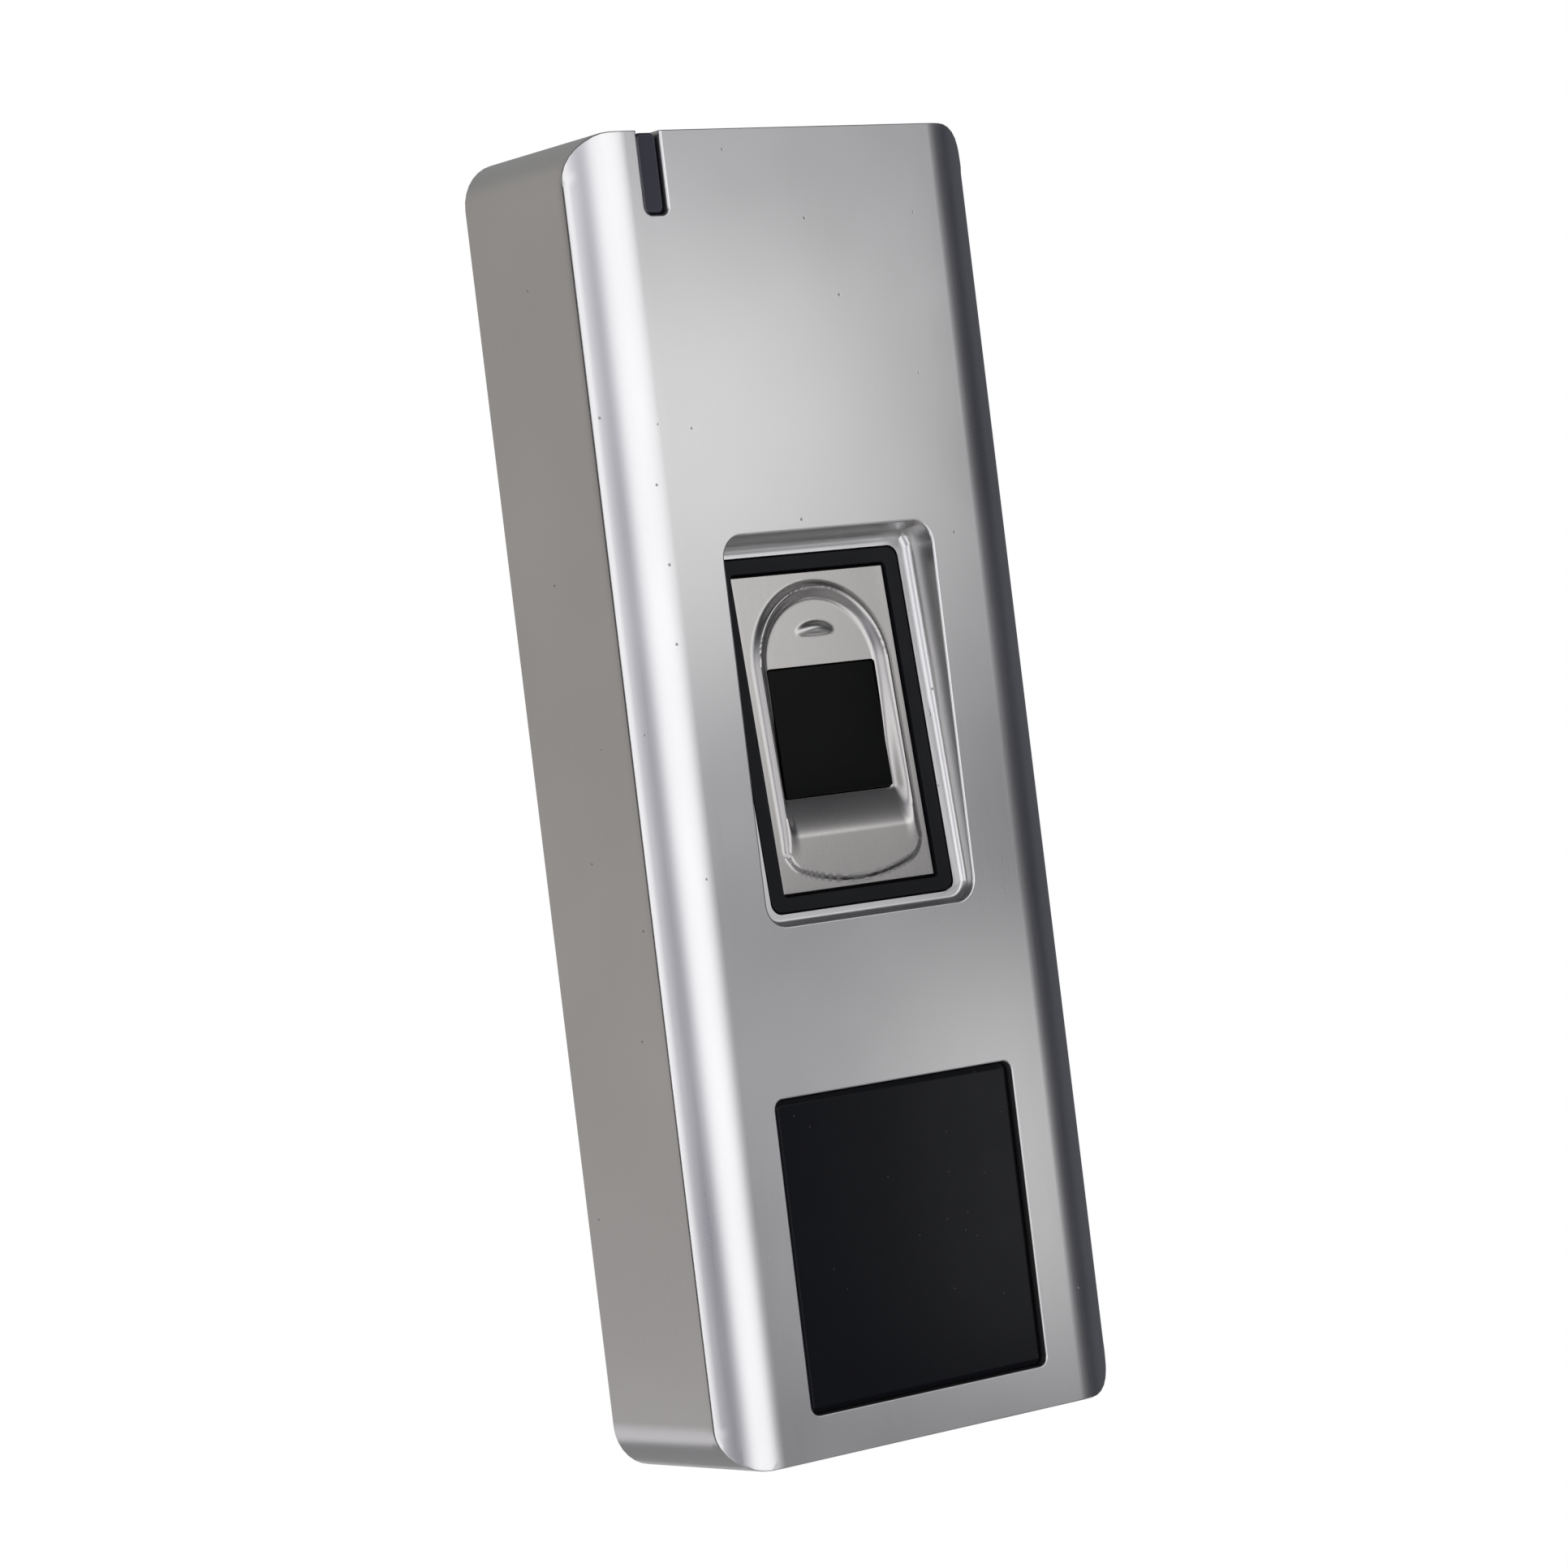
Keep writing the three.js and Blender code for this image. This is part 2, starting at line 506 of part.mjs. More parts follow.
function sensorBezel() {
  const inner = RIM_RADIUS - RIM_WALL;
  const rimOutline = archOutline(RIM_RADIUS, BEZEL_HEIGHT / 2 - 0.75, 1.2);
  const rim = plate(rimOutline, BEZEL_SINK - RIM_HEIGHT, BEZEL_SINK + 0.2);
  const ramp = bar([
    [BEZEL_SINK - RIM_HEIGHT - 1, -REST_BOTTOM - 2.4],
    [BEZEL_SINK - RIM_HEIGHT, -REST_BOTTOM - 2.4],
    [BEZEL_SINK, -REST_BOTTOM - 0.4],
    [GLASS_FRONT, -REST_BOTTOM + 2],
    [GLASS_FRONT, BEZEL_HEIGHT],
    [BEZEL_SINK - RIM_HEIGHT - 1, BEZEL_HEIGHT],
  ], -inner, inner);
  const rest = plate(archOutline(inner, REST_BOTTOM + 4, 0.6), -3, GLASS_FRONT).intersect(ramp);
  const glassHole = plate(roundRect(0, 0, GLASS_WIDTH + 2 * FIT, GLASS_HEIGHT + 2 * FIT, 0.4), -3, 4);
  const blank = plate(roundRect(0, 0, BEZEL_WIDTH, BEZEL_HEIGHT, 0.5), BEZEL_SINK, BEZEL_SINK + BEZEL);
  return cut(join(blank, rim), rest, glassHole);
}
piece('sensor_bezel', sensorBezel(), bezelMetal, sensor);
piece('sensor_window', plate(
  roundRect(0, 0, GLASS_WIDTH, GLASS_HEIGHT, 0.35), GLASS_FRONT, GLASS_FRONT + GLASS), blackGloss, sensor);

// optics behind the window: prism, camera looking up into it, and its lights
const PRISM_FRONT = GLASS_FRONT + GLASS + TURNED_GAP;
const PRISM_REAR = HOUSING_REAR - 0.8;
const PRISM_HALF = GLASS_HEIGHT / 2 - 0.3;
const OPTIC_Y = (PRISM_FRONT + PRISM_REAR) / 2;
piece('sensor_prism', bar([
  [PRISM_FRONT, -PRISM_HALF], [PRISM_REAR, 0], [PRISM_REAR, PRISM_HALF], [PRISM_FRONT, PRISM_HALF],
], -GLASS_WIDTH / 2 + 0.3, GLASS_WIDTH / 2 - 0.3), clearGlass, sensor);
piece('sensor_lens', cut(
  rodZ(0, OPTIC_Y, 1.8, -PRISM_HALF - 4, -PRISM_HALF - 0.4),
  rodZ(0, OPTIC_Y, 1.1, -PRISM_HALF - 1.2, -PRISM_HALF, 12),
), blackPlastic, sensor);
piece('sensor_camera', box(
  -3, 3, OPTIC_Y - 2, OPTIC_Y + 2, -PRISM_HALF - 5.4, -PRISM_HALF - 4 - TURNED_GAP), chipBlack, sensor);
piece('sensor_light_board', join(
  box(-6, 6, OPTIC_Y - 2, OPTIC_Y + 2, PRISM_HALF + 1, PRISM_HALF + 2),
  ...[-4, 0, 4].map((x) => box(
    x - LED_HALF, x + LED_HALF, OPTIC_Y - LED_HALF, OPTIC_Y + LED_HALF, PRISM_HALF + 0.4, PRISM_HALF + 1.2)),
), boardGreen, sensor);

piece('sensor_housing', cut(
  join(
    plate(roundRect(0, 0, SNOUT_WIDTH, SNOUT_HEIGHT, 0.5), SNOUT_FRONT, HOUSING_FRONT + 0.2),
    plate(roundRect(0, 0, HOUSING_WIDTH, HOUSING_HEIGHT, 1), HOUSING_FRONT, HOUSING_REAR),
  ),
  box(-SNOUT_WIDTH / 2 + HOUSING_WALL, SNOUT_WIDTH / 2 - HOUSING_WALL, 0, HOUSING_REAR + 1,
    -SNOUT_HEIGHT / 2 + HOUSING_WALL, SNOUT_HEIGHT / 2 - HOUSING_WALL),
), blackPlastic, sensor);

const SENSOR_BOARD_FRONT = HOUSING_REAR + TURNED_GAP / 2;
piece('sensor_board', join(
  box(-HOUSING_WIDTH / 2, HOUSING_WIDTH / 2, SENSOR_BOARD_FRONT, SENSOR_BOARD_FRONT + 0.8,
    -HOUSING_HEIGHT / 2 - 1, HOUSING_HEIGHT / 2),
), boardGreen, sensor);
SENSOR_SCREWS.forEach(([x, z], i) => {
  piece(`sensor_screw_${i + 1}`, screw(x, z, FLANGE_REAR + TURNED_GAP, 3.2), steel, sensor);
});

// flat cable from the sensor board down to the main board
const HEADER_Z = SENSOR_Z - HOUSING_HEIGHT / 2 - 8;
const CABLE_TOP_Y = FRONT + SENSOR_DEPTH + SENSOR_BOARD_FRONT + 1.5 - HOUSING_HEIGHT / 2 * Math.sin(LEAN);
piece('sensor_header', box(-6.5, 6.5, BOARD_FRONT - 2, BOARD_FRONT, HEADER_Z - 2, HEADER_Z + 2), headerWhite);
piece('sensor_cable', bar([
  [CABLE_TOP_Y, HEADER_Z + 10.4], [CABLE_TOP_Y + 0.3, HEADER_Z + 10.4],
  [CABLE_TOP_Y + 0.3, HEADER_Z + 6], [BOARD_FRONT - 0.8, HEADER_Z + 3.6],
  [BOARD_FRONT - 0.8, HEADER_Z + 2.1], [BOARD_FRONT - 1.1, HEADER_Z + 2.1],
  [BOARD_FRONT - 1.1, HEADER_Z + 3.4], [CABLE_TOP_Y, HEADER_Z + 5.8],
], -5, 5), tape);

// ---------- card window and the antenna behind it ----------

const CARD_Z = (CARD_Z0 + CARD_Z1) / 2;
const FLANGE_FRONT = INNER_FRONT + TAPE;
const LAP_Z0 = Math.max(CARD_Z0 - CARD_LAP_ENDS, -INNER_TOP + FIT);
const LAP_Z1 = CARD_Z1 + CARD_LAP_ENDS;
const lapOutline = roundRect(
  0, (LAP_Z0 + LAP_Z1) / 2, CARD_WIDTH + 2 * CARD_LAP, LAP_Z1 - LAP_Z0, CARD_CORNER);

function cardWindow() {
  const plug = roundRect(0, CARD_Z, CARD_WIDTH - 2 * FIT, CARD_HEIGHT - 2 * FIT, CARD_CORNER - FIT);
  const bevel = 2 * CARD_BEVEL;
  const crown = roundRect(0, CARD_Z, CARD_WIDTH - bevel, CARD_HEIGHT - bevel, CARD_CORNER / 2);
  return join(
    plate(crown, FRONT + CARD_SINK, FRONT + CARD_SINK + 1),
    plate(plug, FRONT + CARD_SINK + 0.35, FLANGE_FRONT + 0.2),
    plate(lapOutline, FLANGE_FRONT, FLANGE_FRONT + CARD_FLANGE),
  );
}
piece('card_window', cardWindow(), blackGloss);
piece('card_window_tape', cut(
  plate(lapOutline, INNER_FRONT, FLANGE_FRONT),
  plate(roundRect(0, CARD_Z, CARD_WIDTH, CARD_HEIGHT, CARD_CORNER), INNER_FRONT - 1, FLANGE_FRONT + 1),
), tape);

const COIL_FRONT = FLANGE_FRONT + CARD_FLANGE;
const ANTENNA_FRONT = COIL_FRONT + 0.3;
piece('antenna_coil', cut(
  plate(roundRect(0, CARD_Z, CARD_WIDTH - 2, CARD_HEIGHT - 2, 2), COIL_FRONT, ANTENNA_FRONT),
  plate(roundRect(0, CARD_Z, CARD_WIDTH - 8, CARD_HEIGHT - 8, 1), COIL_FRONT - 1, ANTENNA_FRONT + 1),
), copper);
piece('antenna_board', plate(
  roundRect(0, CARD_Z, CARD_WIDTH + 1, CARD_HEIGHT + 1, 1), ANTENNA_FRONT, ANTENNA_FRONT + ANTENNA_BOARD,
), boardGreen);
const ANTENNA_REAR = ANTENNA_FRONT + ANTENNA_BOARD;
piece('antenna_lead', lead([
  [12.5, ANTENNA_REAR + 0.4, CARD_Z0 + 8], [12.5, ANTENNA_REAR + 2.4, CARD_Z0 + 8.6],
  [12.5, BOARD_FRONT - 3.4, CARD_Z0 + 10.6], [12.5, BOARD_FRONT - 0.4, CARD_Z0 + 11.4],
], 0.6), chipBlack);

// ---------- main board and what is on it ----------

const BOARD_SIDE = INNER_SIDE - BOARD_MARGIN;
const BOARD_Z0 = BOTTOM + BOARD_BOTTOM;
const BOARD_Z1 = TOP - BOARD_TOP;
const boardOutline = roundRect(0, (BOARD_Z0 + BOARD_Z1) / 2, 2 * BOARD_SIDE, BOARD_Z1 - BOARD_Z0, 1);
piece('main_board', cut(
  plate(boardOutline, BOARD_FRONT, -BOARD_REAR),
  ...BOARD_SCREWS.map(([x, z]) => rodY(x, z, SCREW + FIT, BOARD_FRONT - 1, 0, 12)),
  rodY(TAMPER_X, TAMPER_Z, TAMPER_SHAFT + 0.3, BOARD_FRONT - 1, 0),
), boardGreen);
BOARD_SCREWS.forEach(([x, z], i) => {
  piece(`board_screw_${i + 1}`, screw(x, z, -BOARD_REAR, 5, SCREW_HEAD_LOW), steel);
});

const HEADER_X = 2.5;
const HEADER_WIDTH = 12;
const HEADER_LENGTH = 6;
const HEADER_HEIGHT = 5.5;

// a part soldered to the board's front face: centre, size and height
function onBoard(x, z, width, length, height) {
  return box(x - width / 2, x + width / 2, BOARD_FRONT - height, BOARD_FRONT, z - length / 2, z + length / 2);
}
// name: x, height over the card window's top edge, width, length, height, material
const LOWER_PARTS = {
  processor: [0, -1, 14, 14, 1.4, chipBlack],
  memory_chip: [-2, -17, 8, 9, 1, chipBlack],
  card_reader_chip: [6.5, -17, 6, 6, 1, chipBlack],
  power_inductor: [-12.5, 2, 7, 7, 4, chipBlack],
};
for (const [name, [x, rise, width, length, height, material]] of Object.entries(LOWER_PARTS)) {
  piece(name, onBoard(x, CARD_Z1 + rise, width, length, height), material);
}
piece('power_capacitor', rodY(-13.5, CARD_Z1 - 7, 3.2, BOARD_FRONT - 6, BOARD_FRONT), sleeveBlue);
piece('backup_cell', rodY(-13.5, CARD_Z1 - 17, 4.8, BOARD_FRONT - 3.2, BOARD_FRONT, 28), steel);
piece('relay', onBoard(-10.5, BOARD_Z1 - 10.5, 10, 15.5, 9.5), relayBlue);
const BUZZER_X = 13.8;
const BUZZER_Z = BOARD_Z1 - 14;
const BUZZER_HEIGHT = 5;
piece('buzzer', cut(
  rodY(BUZZER_X, BUZZER_Z, 4.2, BOARD_FRONT - BUZZER_HEIGHT, BOARD_FRONT, 28),
  rodY(BUZZER_X, BUZZER_Z, 0.9, BOARD_FRONT - BUZZER_HEIGHT - 1, BOARD_FRONT - BUZZER_HEIGHT + 1.5, 12),
), chipBlack);
const headerDrops = { power_header: 5, signal_header: 14 };
for (const [name, drop] of Object.entries(headerDrops)) {
  const outer = onBoard(HEADER_X, BOARD_Z1 - drop, HEADER_WIDTH, HEADER_LENGTH, HEADER_HEIGHT);
  const inner = onBoard(
    HEADER_X, BOARD_Z1 - drop, HEADER_WIDTH - 1.6, HEADER_LENGTH - 1.6, 2 * HEADER_HEIGHT);
  piece(name, cut(outer, inner.translate([0, -1.4, 0])), headerWhite);
}
const LEAD_X = LED_BOARD_X1 - 2;
piece('led_lead', lead([
  [LEAD_X, LED_BOARD_REAR + 0.7, LED_BOARD_Z0 + 1.2], [LEAD_X, LED_BOARD_REAR + 1.6, LED_BOARD_Z0 - 2.4],
  [LEAD_X, LED_BOARD_REAR + 1.8, BOARD_Z1 + 1.2], [LEAD_X, BOARD_FRONT - 1.6, BOARD_Z1 - 1.2],
  [LEAD_X, BOARD_FRONT - 0.15, BOARD_Z1 - 1.4],
], 0.5), chipBlack);

// ---------- tamper switch: the plunger feels the wall through cover and bracket ----------

const SWITCH_FRONT = BOARD_FRONT - 6.4;
const PLUNGER_HEAD = 2.2;
piece('tamper_switch', cut(
  box(TAMPER_X - 3.5, TAMPER_X + 3.5, SWITCH_FRONT, BOARD_FRONT, TAMPER_Z - 3.5, TAMPER_Z + 3.5),
  rodY(TAMPER_X, TAMPER_Z, PLUNGER_HEAD + 0.3, SWITCH_FRONT + 1, BOARD_FRONT + 1),
), blackPlastic);
piece('tamper_spring', cut(
  rodY(TAMPER_X, TAMPER_Z, PLUNGER_HEAD - 0.1, SWITCH_FRONT + 1.1, BOARD_FRONT - 1.5),
  rodY(TAMPER_X, TAMPER_Z, PLUNGER_HEAD - 0.6, SWITCH_FRONT, BOARD_FRONT),
), steel);
piece('tamper_plunger', join(
  rodY(TAMPER_X, TAMPER_Z, PLUNGER_HEAD, BOARD_FRONT - 1.3, BOARD_FRONT - 0.3),
  rodY(TAMPER_X, TAMPER_Z, TAMPER_SHAFT, BOARD_FRONT - 0.5, TAMPER_PROUD),
), headerWhite);

// ---------- back cover, gasket, screws and cable grommet ----------

const hookArmLow = HOOK_Z - BRACKET;
const hookSlot = [hookArmLow - 3.75, HOOK_Z + 0.3];
const hookInside = [hookSlot[0] - 0.2, HOOK_Z + HOOK_LIP + 1.2];
const hookHalf = HOOK_WIDTH / 2 + HOOK_PLAY;
const HOOK_TIP = BRACKET + HOOK_THROAT + BRACKET;

function hookPocket(side, grow, rear) {
  const x = side * HOOK_X;
  const half = hookHalf + grow;
  return box(x - half, x + half, -HOOK_TIP - 0.6 - grow, rear, hookInside[0] - grow, hookInside[1] + grow);
}

function coverOutline(grow) {
  const slack = WALL + 0.3 - grow;
  return roundRect(0, 0, WIDTH - 2 * slack, HEIGHT - 2 * slack, CORNER - slack);
}

const bayNotch = (half, top, y0, y1) => box(-half, half, y0, y1, BOTTOM, top);

function backCover() {
  const blank = plate(coverOutline(0), COVER_FRONT, -COVER_REAR);
  const pockets = [1, -1].map((side) => hookPocket(side, POCKET_SKIN, COVER_FRONT + 0.2));
  return cut(
    join(blank, ...pockets),
    bayNotch(BAY_HALF, bayCeiling, COVER_FRONT - 1, 0),
    ...[1, -1].map((side) => hookPocket(side, 0, COVER_FRONT)),
    ...[1, -1].map((side) => box(
      side * HOOK_X - hookHalf, side * HOOK_X + hookHalf, COVER_FRONT - 1, 0, ...hookSlot)),
    ...COVER_SCREWS.map(([x, z]) => rodY(x, z, SCREW + FIT, COVER_FRONT - 1, 0, 12)),
    ...COVER_SCREWS.map(([x, z]) => rodY(x, z, SCREW_HEAD + FIT, -COVER_REAR - SCREW_HEAD_HEIGHT - 0.1, 0)),
    rodY(0, CABLE_Z, GROMMET_NECK + 0.02, COVER_FRONT - 1, 0, 24),
    rodY(TAMPER_X, TAMPER_Z, TAMPER_SHAFT + 0.3, COVER_FRONT - 1, 0),
  );
}
piece('back_cover', backCover(), steel);
COVER_SCREWS.forEach(([x, z], i) => {
  piece(`cover_screw_${i + 1}`, screw(x, z, -COVER_REAR - SCREW_HEAD_HEIGHT - 0.05, 5), steel);
});

function backGasket() {
  const inside = roundRect(
    0, 0, 2 * (INNER_SIDE + 0.1), 2 * (INNER_TOP + 0.1), CORNER - WALL - 0.3);
  const ring = cut(plate(coverOutline(-0.1), SEAT, COVER_FRONT), plate(inside, SEAT - 1, 0));
  const eyelets = COVER_SCREWS.map(([x, z]) => join(
    rodY(x, z, BOSS - 0.1, SEAT, COVER_FRONT),
    box(Math.min(x, Math.sign(x) * (INNER_SIDE + 0.4)), Math.max(x, Math.sign(x) * (INNER_SIDE + 0.4)),
      SEAT, COVER_FRONT, z - 0.8, z + 0.8),
  ));
  const bayStrip = bayNotch(BAY_HALF + BAY_WALL - 0.1, bayRoof - 0.1, SEAT, COVER_FRONT)
    .intersect(plate(coverOutline(-0.1), SEAT, COVER_FRONT));
  return cut(
    join(ring, ...eyelets, bayStrip),
    bayNotch(BAY_HALF + 0.1, bayCeiling + 0.1, SEAT - 1, 0),
    ...COVER_SCREWS.map(([x, z]) => rodY(x, z, SCREW + 0.2, SEAT - 1, 0, 12)),
  );
}
piece('back_gasket', backGasket(), rubber);

piece('cable_grommet', cut(
  join(
    rodY(0, CABLE_Z, GROMMET_NECK, COVER_FRONT - 0.5, -COVER_REAR + 0.2, 24),
    rodY(0, CABLE_Z, GROMMET_NECK + 1.2, COVER_FRONT - 1.2, COVER_FRONT, 24),
    rodY(0, CABLE_Z, GROMMET_NECK - 0.4, COVER_FRONT - 4, COVER_FRONT, 24),
  ),
  rodY(0, CABLE_Z, CABLE_BORE, COVER_FRONT - 5, 0, 24),
), rubber);

// ---------- wall bracket ----------

function wallSlot(z) {
  return plate(roundRect(0, z, WALL_SLOT_WIDTH, WALL_SLOT_LENGTH, WALL_SLOT_WIDTH / 2), -BRACKET - 1, 1);
}

function wallBracket() {
  const margin = WALL + BRACKET_MARGIN;
  const top = TOP - WALL - 2;
  const low = BOTTOM + TAB_LIFT;
  const blank = plate(roundRect(0, (top + low) / 2, WIDTH - 2 * margin, top - low, 2), -BRACKET, 0);
  const hooks = [1, -1].map((side) => {
    const x0 = side * HOOK_X - HOOK_WIDTH / 2;
    const x1 = side * HOOK_X + HOOK_WIDTH / 2;
    return join(
      box(x0, x1, -HOOK_TIP, -BRACKET / 2, hookArmLow, HOOK_Z),
      box(x0, x1, -HOOK_TIP, -HOOK_TIP + BRACKET, hookArmLow, HOOK_Z + HOOK_LIP),
    );
  });
  const windows = [1, -1].map((side) => box(
    side * HOOK_X - HOOK_WIDTH / 2 - 0.4, side * HOOK_X + HOOK_WIDTH / 2 + 0.4,
    -BRACKET - 1, 1, hookArmLow - 8, hookArmLow));
  const tab = cut(
    box(-TAB_HALF, TAB_HALF, -TAB_REACH, 0, low, low + BRACKET),
    rodZ(0, -LOCK_Y, LOCK_SHANK + 0.4, low - 1, low + BRACKET + 1),
    box(-LOCK_SHANK - 0.4, LOCK_SHANK + 0.4, -TAB_REACH - 1, -LOCK_Y, low - 1, low + BRACKET + 1),
  );
  return cut(
    join(blank, ...hooks, tab),
    ...windows,
    wallSlot(WALL_SLOT_Z), wallSlot(-WALL_SLOT_Z),
    rodY(0, CABLE_Z, BRACKET_CABLE_HOLE, -BRACKET - 1, 1, 32),
    rodY(TAMPER_X, TAMPER_Z, TAMPER_SHAFT + 1.2, -BRACKET - 1, 1),
  );
}
piece('wall_bracket', wallBracket(), steel);

// ---------- lock screw and its threaded insert ----------

piece('lock_insert', cut(
  rodZ(0, -LOCK_Y, INSERT, insertLow, insertTop - 0.1),
  rodZ(0, -LOCK_Y, LOCK_SHANK + 0.1, insertLow - 1, insertTop + 1),
), brass);
const lockHeadTop = BOTTOM + LOCK_HEAD_HEIGHT + 0.1;
piece('lock_screw', cut(
  join(
    rodZ(0, -LOCK_Y, LOCK_HEAD, BOTTOM + 0.1, lockHeadTop, 24),
    rodZ(0, -LOCK_Y, LOCK_SHANK, lockHeadTop - 0.2, insertTop - 0.3),
  ),
  rodZ(0, -LOCK_Y, 1.1, BOTTOM - 1, BOTTOM + 1.1, 6),
), steel);

export default terminal;
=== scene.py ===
import math

import bmesh
import bpy
from bpy.props import FloatProperty, FloatVectorProperty, IntProperty, PointerProperty
from mathutils import Matrix, Vector


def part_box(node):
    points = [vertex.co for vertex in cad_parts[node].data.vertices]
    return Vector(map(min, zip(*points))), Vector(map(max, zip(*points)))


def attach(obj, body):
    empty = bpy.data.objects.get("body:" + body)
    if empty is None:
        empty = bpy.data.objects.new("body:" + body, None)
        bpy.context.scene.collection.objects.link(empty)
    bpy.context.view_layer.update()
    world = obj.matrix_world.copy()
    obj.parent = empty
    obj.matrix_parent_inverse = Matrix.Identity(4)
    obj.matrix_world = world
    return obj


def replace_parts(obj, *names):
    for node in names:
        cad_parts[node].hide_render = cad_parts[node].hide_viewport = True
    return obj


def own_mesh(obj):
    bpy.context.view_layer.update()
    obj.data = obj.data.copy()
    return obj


bl_info = {
    "name": "Fingerprint scanner terminal",
    "version": (1, 0, 0),
    "blender": (4, 5, 0),
    "location": "View3D > Sidebar > Scanner",
    "description": "Builds the looks of a wall-mounted fingerprint scanner terminal round its packed frame",
    "category": "Add Mesh",
}

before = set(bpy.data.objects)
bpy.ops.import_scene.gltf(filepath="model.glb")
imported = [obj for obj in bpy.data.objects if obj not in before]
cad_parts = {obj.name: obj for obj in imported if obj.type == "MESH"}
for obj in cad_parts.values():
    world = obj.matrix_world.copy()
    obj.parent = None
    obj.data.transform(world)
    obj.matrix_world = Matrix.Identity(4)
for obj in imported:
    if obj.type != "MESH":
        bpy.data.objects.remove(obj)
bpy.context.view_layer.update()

MM = 0.001
TINY = 1e-6  # points nearer than this, in metres, count as one
SHELL_LOW, SHELL_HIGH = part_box("front_shell")
CARD_LOW, CARD_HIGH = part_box("card_window")
FRONT, SIDE, TOP = SHELL_LOW.y, SHELL_HIGH.x, SHELL_HIGH.z
POCKET_FALL, POCKET_LENGTH = 3.0, 38.3  # how much deeper the finger pocket is at its top, and how long
LEAN = math.atan(POCKET_FALL / POCKET_LENGTH)
SENSOR = Vector((0, FRONT + 2.665 * MM, 5.5 * MM))  # middle of the pocket's floor


def srgb(red, green, blue):
    """A colour from 0 to 255 as the shader's linear colour."""
    return tuple(c / 255 / 12.92 if c < 11 else ((c / 255 + 0.055) / 1.055) ** 2.4 for c in (red, green, blue))


# ---------- sizes and colours that a user may change ----------

def length(name, description, default):
    return FloatProperty(name=name, description=description, default=default * MM, min=0, unit="LENGTH",
                         subtype="DISTANCE", precision=5)


def colour(name, description, red, green, blue):
    return FloatVectorProperty(name=name, description=description, default=srgb(red, green, blue),
                               min=0, max=1, subtype="COLOR")


def angle(name, description, degrees):
    return FloatProperty(name=name, description=description, default=math.radians(degrees), subtype="ANGLE")


class ShellLook(bpy.types.PropertyGroup):
    """The cast front shell."""
    pocket_lip: length("Pocket lip", "Rounding of the finger pocket's upper edge", 0.4)
    pocket_cove: length("Pocket cove", "Rounding where the pocket's walls meet its floor, at the top", 0.95)
    pocket_cove_foot: length("Pocket cove, lower end", "The same rounding at the bottom", 0.6)
    card_lip: length("Card opening", "Rounding of the card opening's edge", 0.28)
    crease_top: length("Crease, upper end", "How far the side rolls in towards the crease at the top", 0.11)
    crease_foot: length("Crease, lower end", "The same roll at the bottom", 0.02)
    crease_run: length("Crease run", "Width of the roll along the side", 1.0)
    rim: length("Rim", "Rounding of the front's upper and lower edges", 0.12)
    rear: length("Rear rim", "Rounding of the rear edges", 0.2)
    metal: colour("Cast metal", "Satin zinc of the shell", 214, 213, 212)
    grain: FloatProperty(name="Grain", description="Depth of the satin grain, in thousandths of a millimetre",
                         default=1.6, min=0)


class SensorLook(bpy.types.PropertyGroup):
    """The fingerprint sensor's visible pieces."""
    rim_height: length("Rim height", "Height of the arched rim over the bezel's face", 0.55)
    rest_sink: length("Rest", "Depth of the fingertip rest under the bezel's face", 0.3)
    nub: length("Nub", "Height of the small raised mark at the top of the rest", 0.34)
    bezel: colour("Bezel", "Satin steel of the bezel", 180, 178, 175)
    plastic: colour("Frame", "Moulded plastic of the frame", 20, 21, 24)
    glass: colour("Window", "Optical window", 9, 10, 10)


class WindowLook(bpy.types.PropertyGroup):
    """The card window and the status light's lens."""
    chamfer: length("Chamfer", "Width of the card window's sloping edge", 0.55)
    card: colour("Card window", "Glossy plastic of the card window", 18, 19, 23)
    lens: colour("Lens", "Smoked plastic of the status light", 54, 54, 64)


class MetalLook(bpy.types.PropertyGroup):
    """The stamped and turned metal parts."""
    bend: length("Stamped edge", "Rounding of the bracket's and cover's edges", 0.2)
    steel: colour("Steel", "Zinc-plated sheet steel", 176, 178, 180)
    screw: colour("Screws", "Nickel-plated screws", 188, 186, 180)


class BoardLook(bpy.types.PropertyGroup):
    """The circuit boards and what is on them."""
    mask: colour("Solder mask", "Colour of the circuit boards", 22, 84, 54)
    pitch: length("Pitch", "Distance between the legs of a chip", 0.5)
    turns: IntProperty(name="Turns", description="Turns of the card reader's coil", default=5, min=1, max=6)


class StageLook(bpy.types.PropertyGroup):
    """Camera and light."""
    azimuth: angle("Azimuth", "Camera's turn round the object, 0 is the front", -37.19)
    elevation: angle("Elevation", "Camera's height as an angle", 0.29)
    roll: angle("Roll", "How far the camera leans", 6.94)
    distance: FloatProperty(name="Distance", description="Camera to the object's middle", default=0.5039,
                            unit="LENGTH")
    lens: FloatProperty(name="Lens", description="Focal length in millimetres", default=115.3, unit="CAMERA")


LOOKS = {"scanner_shell": ShellLook, "scanner_sensor": SensorLook, "scanner_windows": WindowLook,
         "scanner_metal": MetalLook, "scanner_boards": BoardLook, "scanner_stage": StageLook}


# ---------- selecting and shaping ----------

def deselect():
    bpy.ops.object.select_all(action="DESELECT")


def only(obj):
    """Makes obj the one selected and active object, in object mode."""
    if bpy.context.object and bpy.context.object.mode != "OBJECT":
        bpy.ops.object.mode_set(mode="OBJECT")
    deselect()
    obj.select_set(True)
    bpy.context.view_layer.objects.active = obj


def edit(obj):
    only(obj)
    bpy.ops.object.mode_set(mode="EDIT")
    bpy.ops.mesh.select_mode(type="VERT")
    bpy.ops.mesh.select_all(action="SELECT")


def leave():
    bpy.ops.object.mode_set(mode="OBJECT")


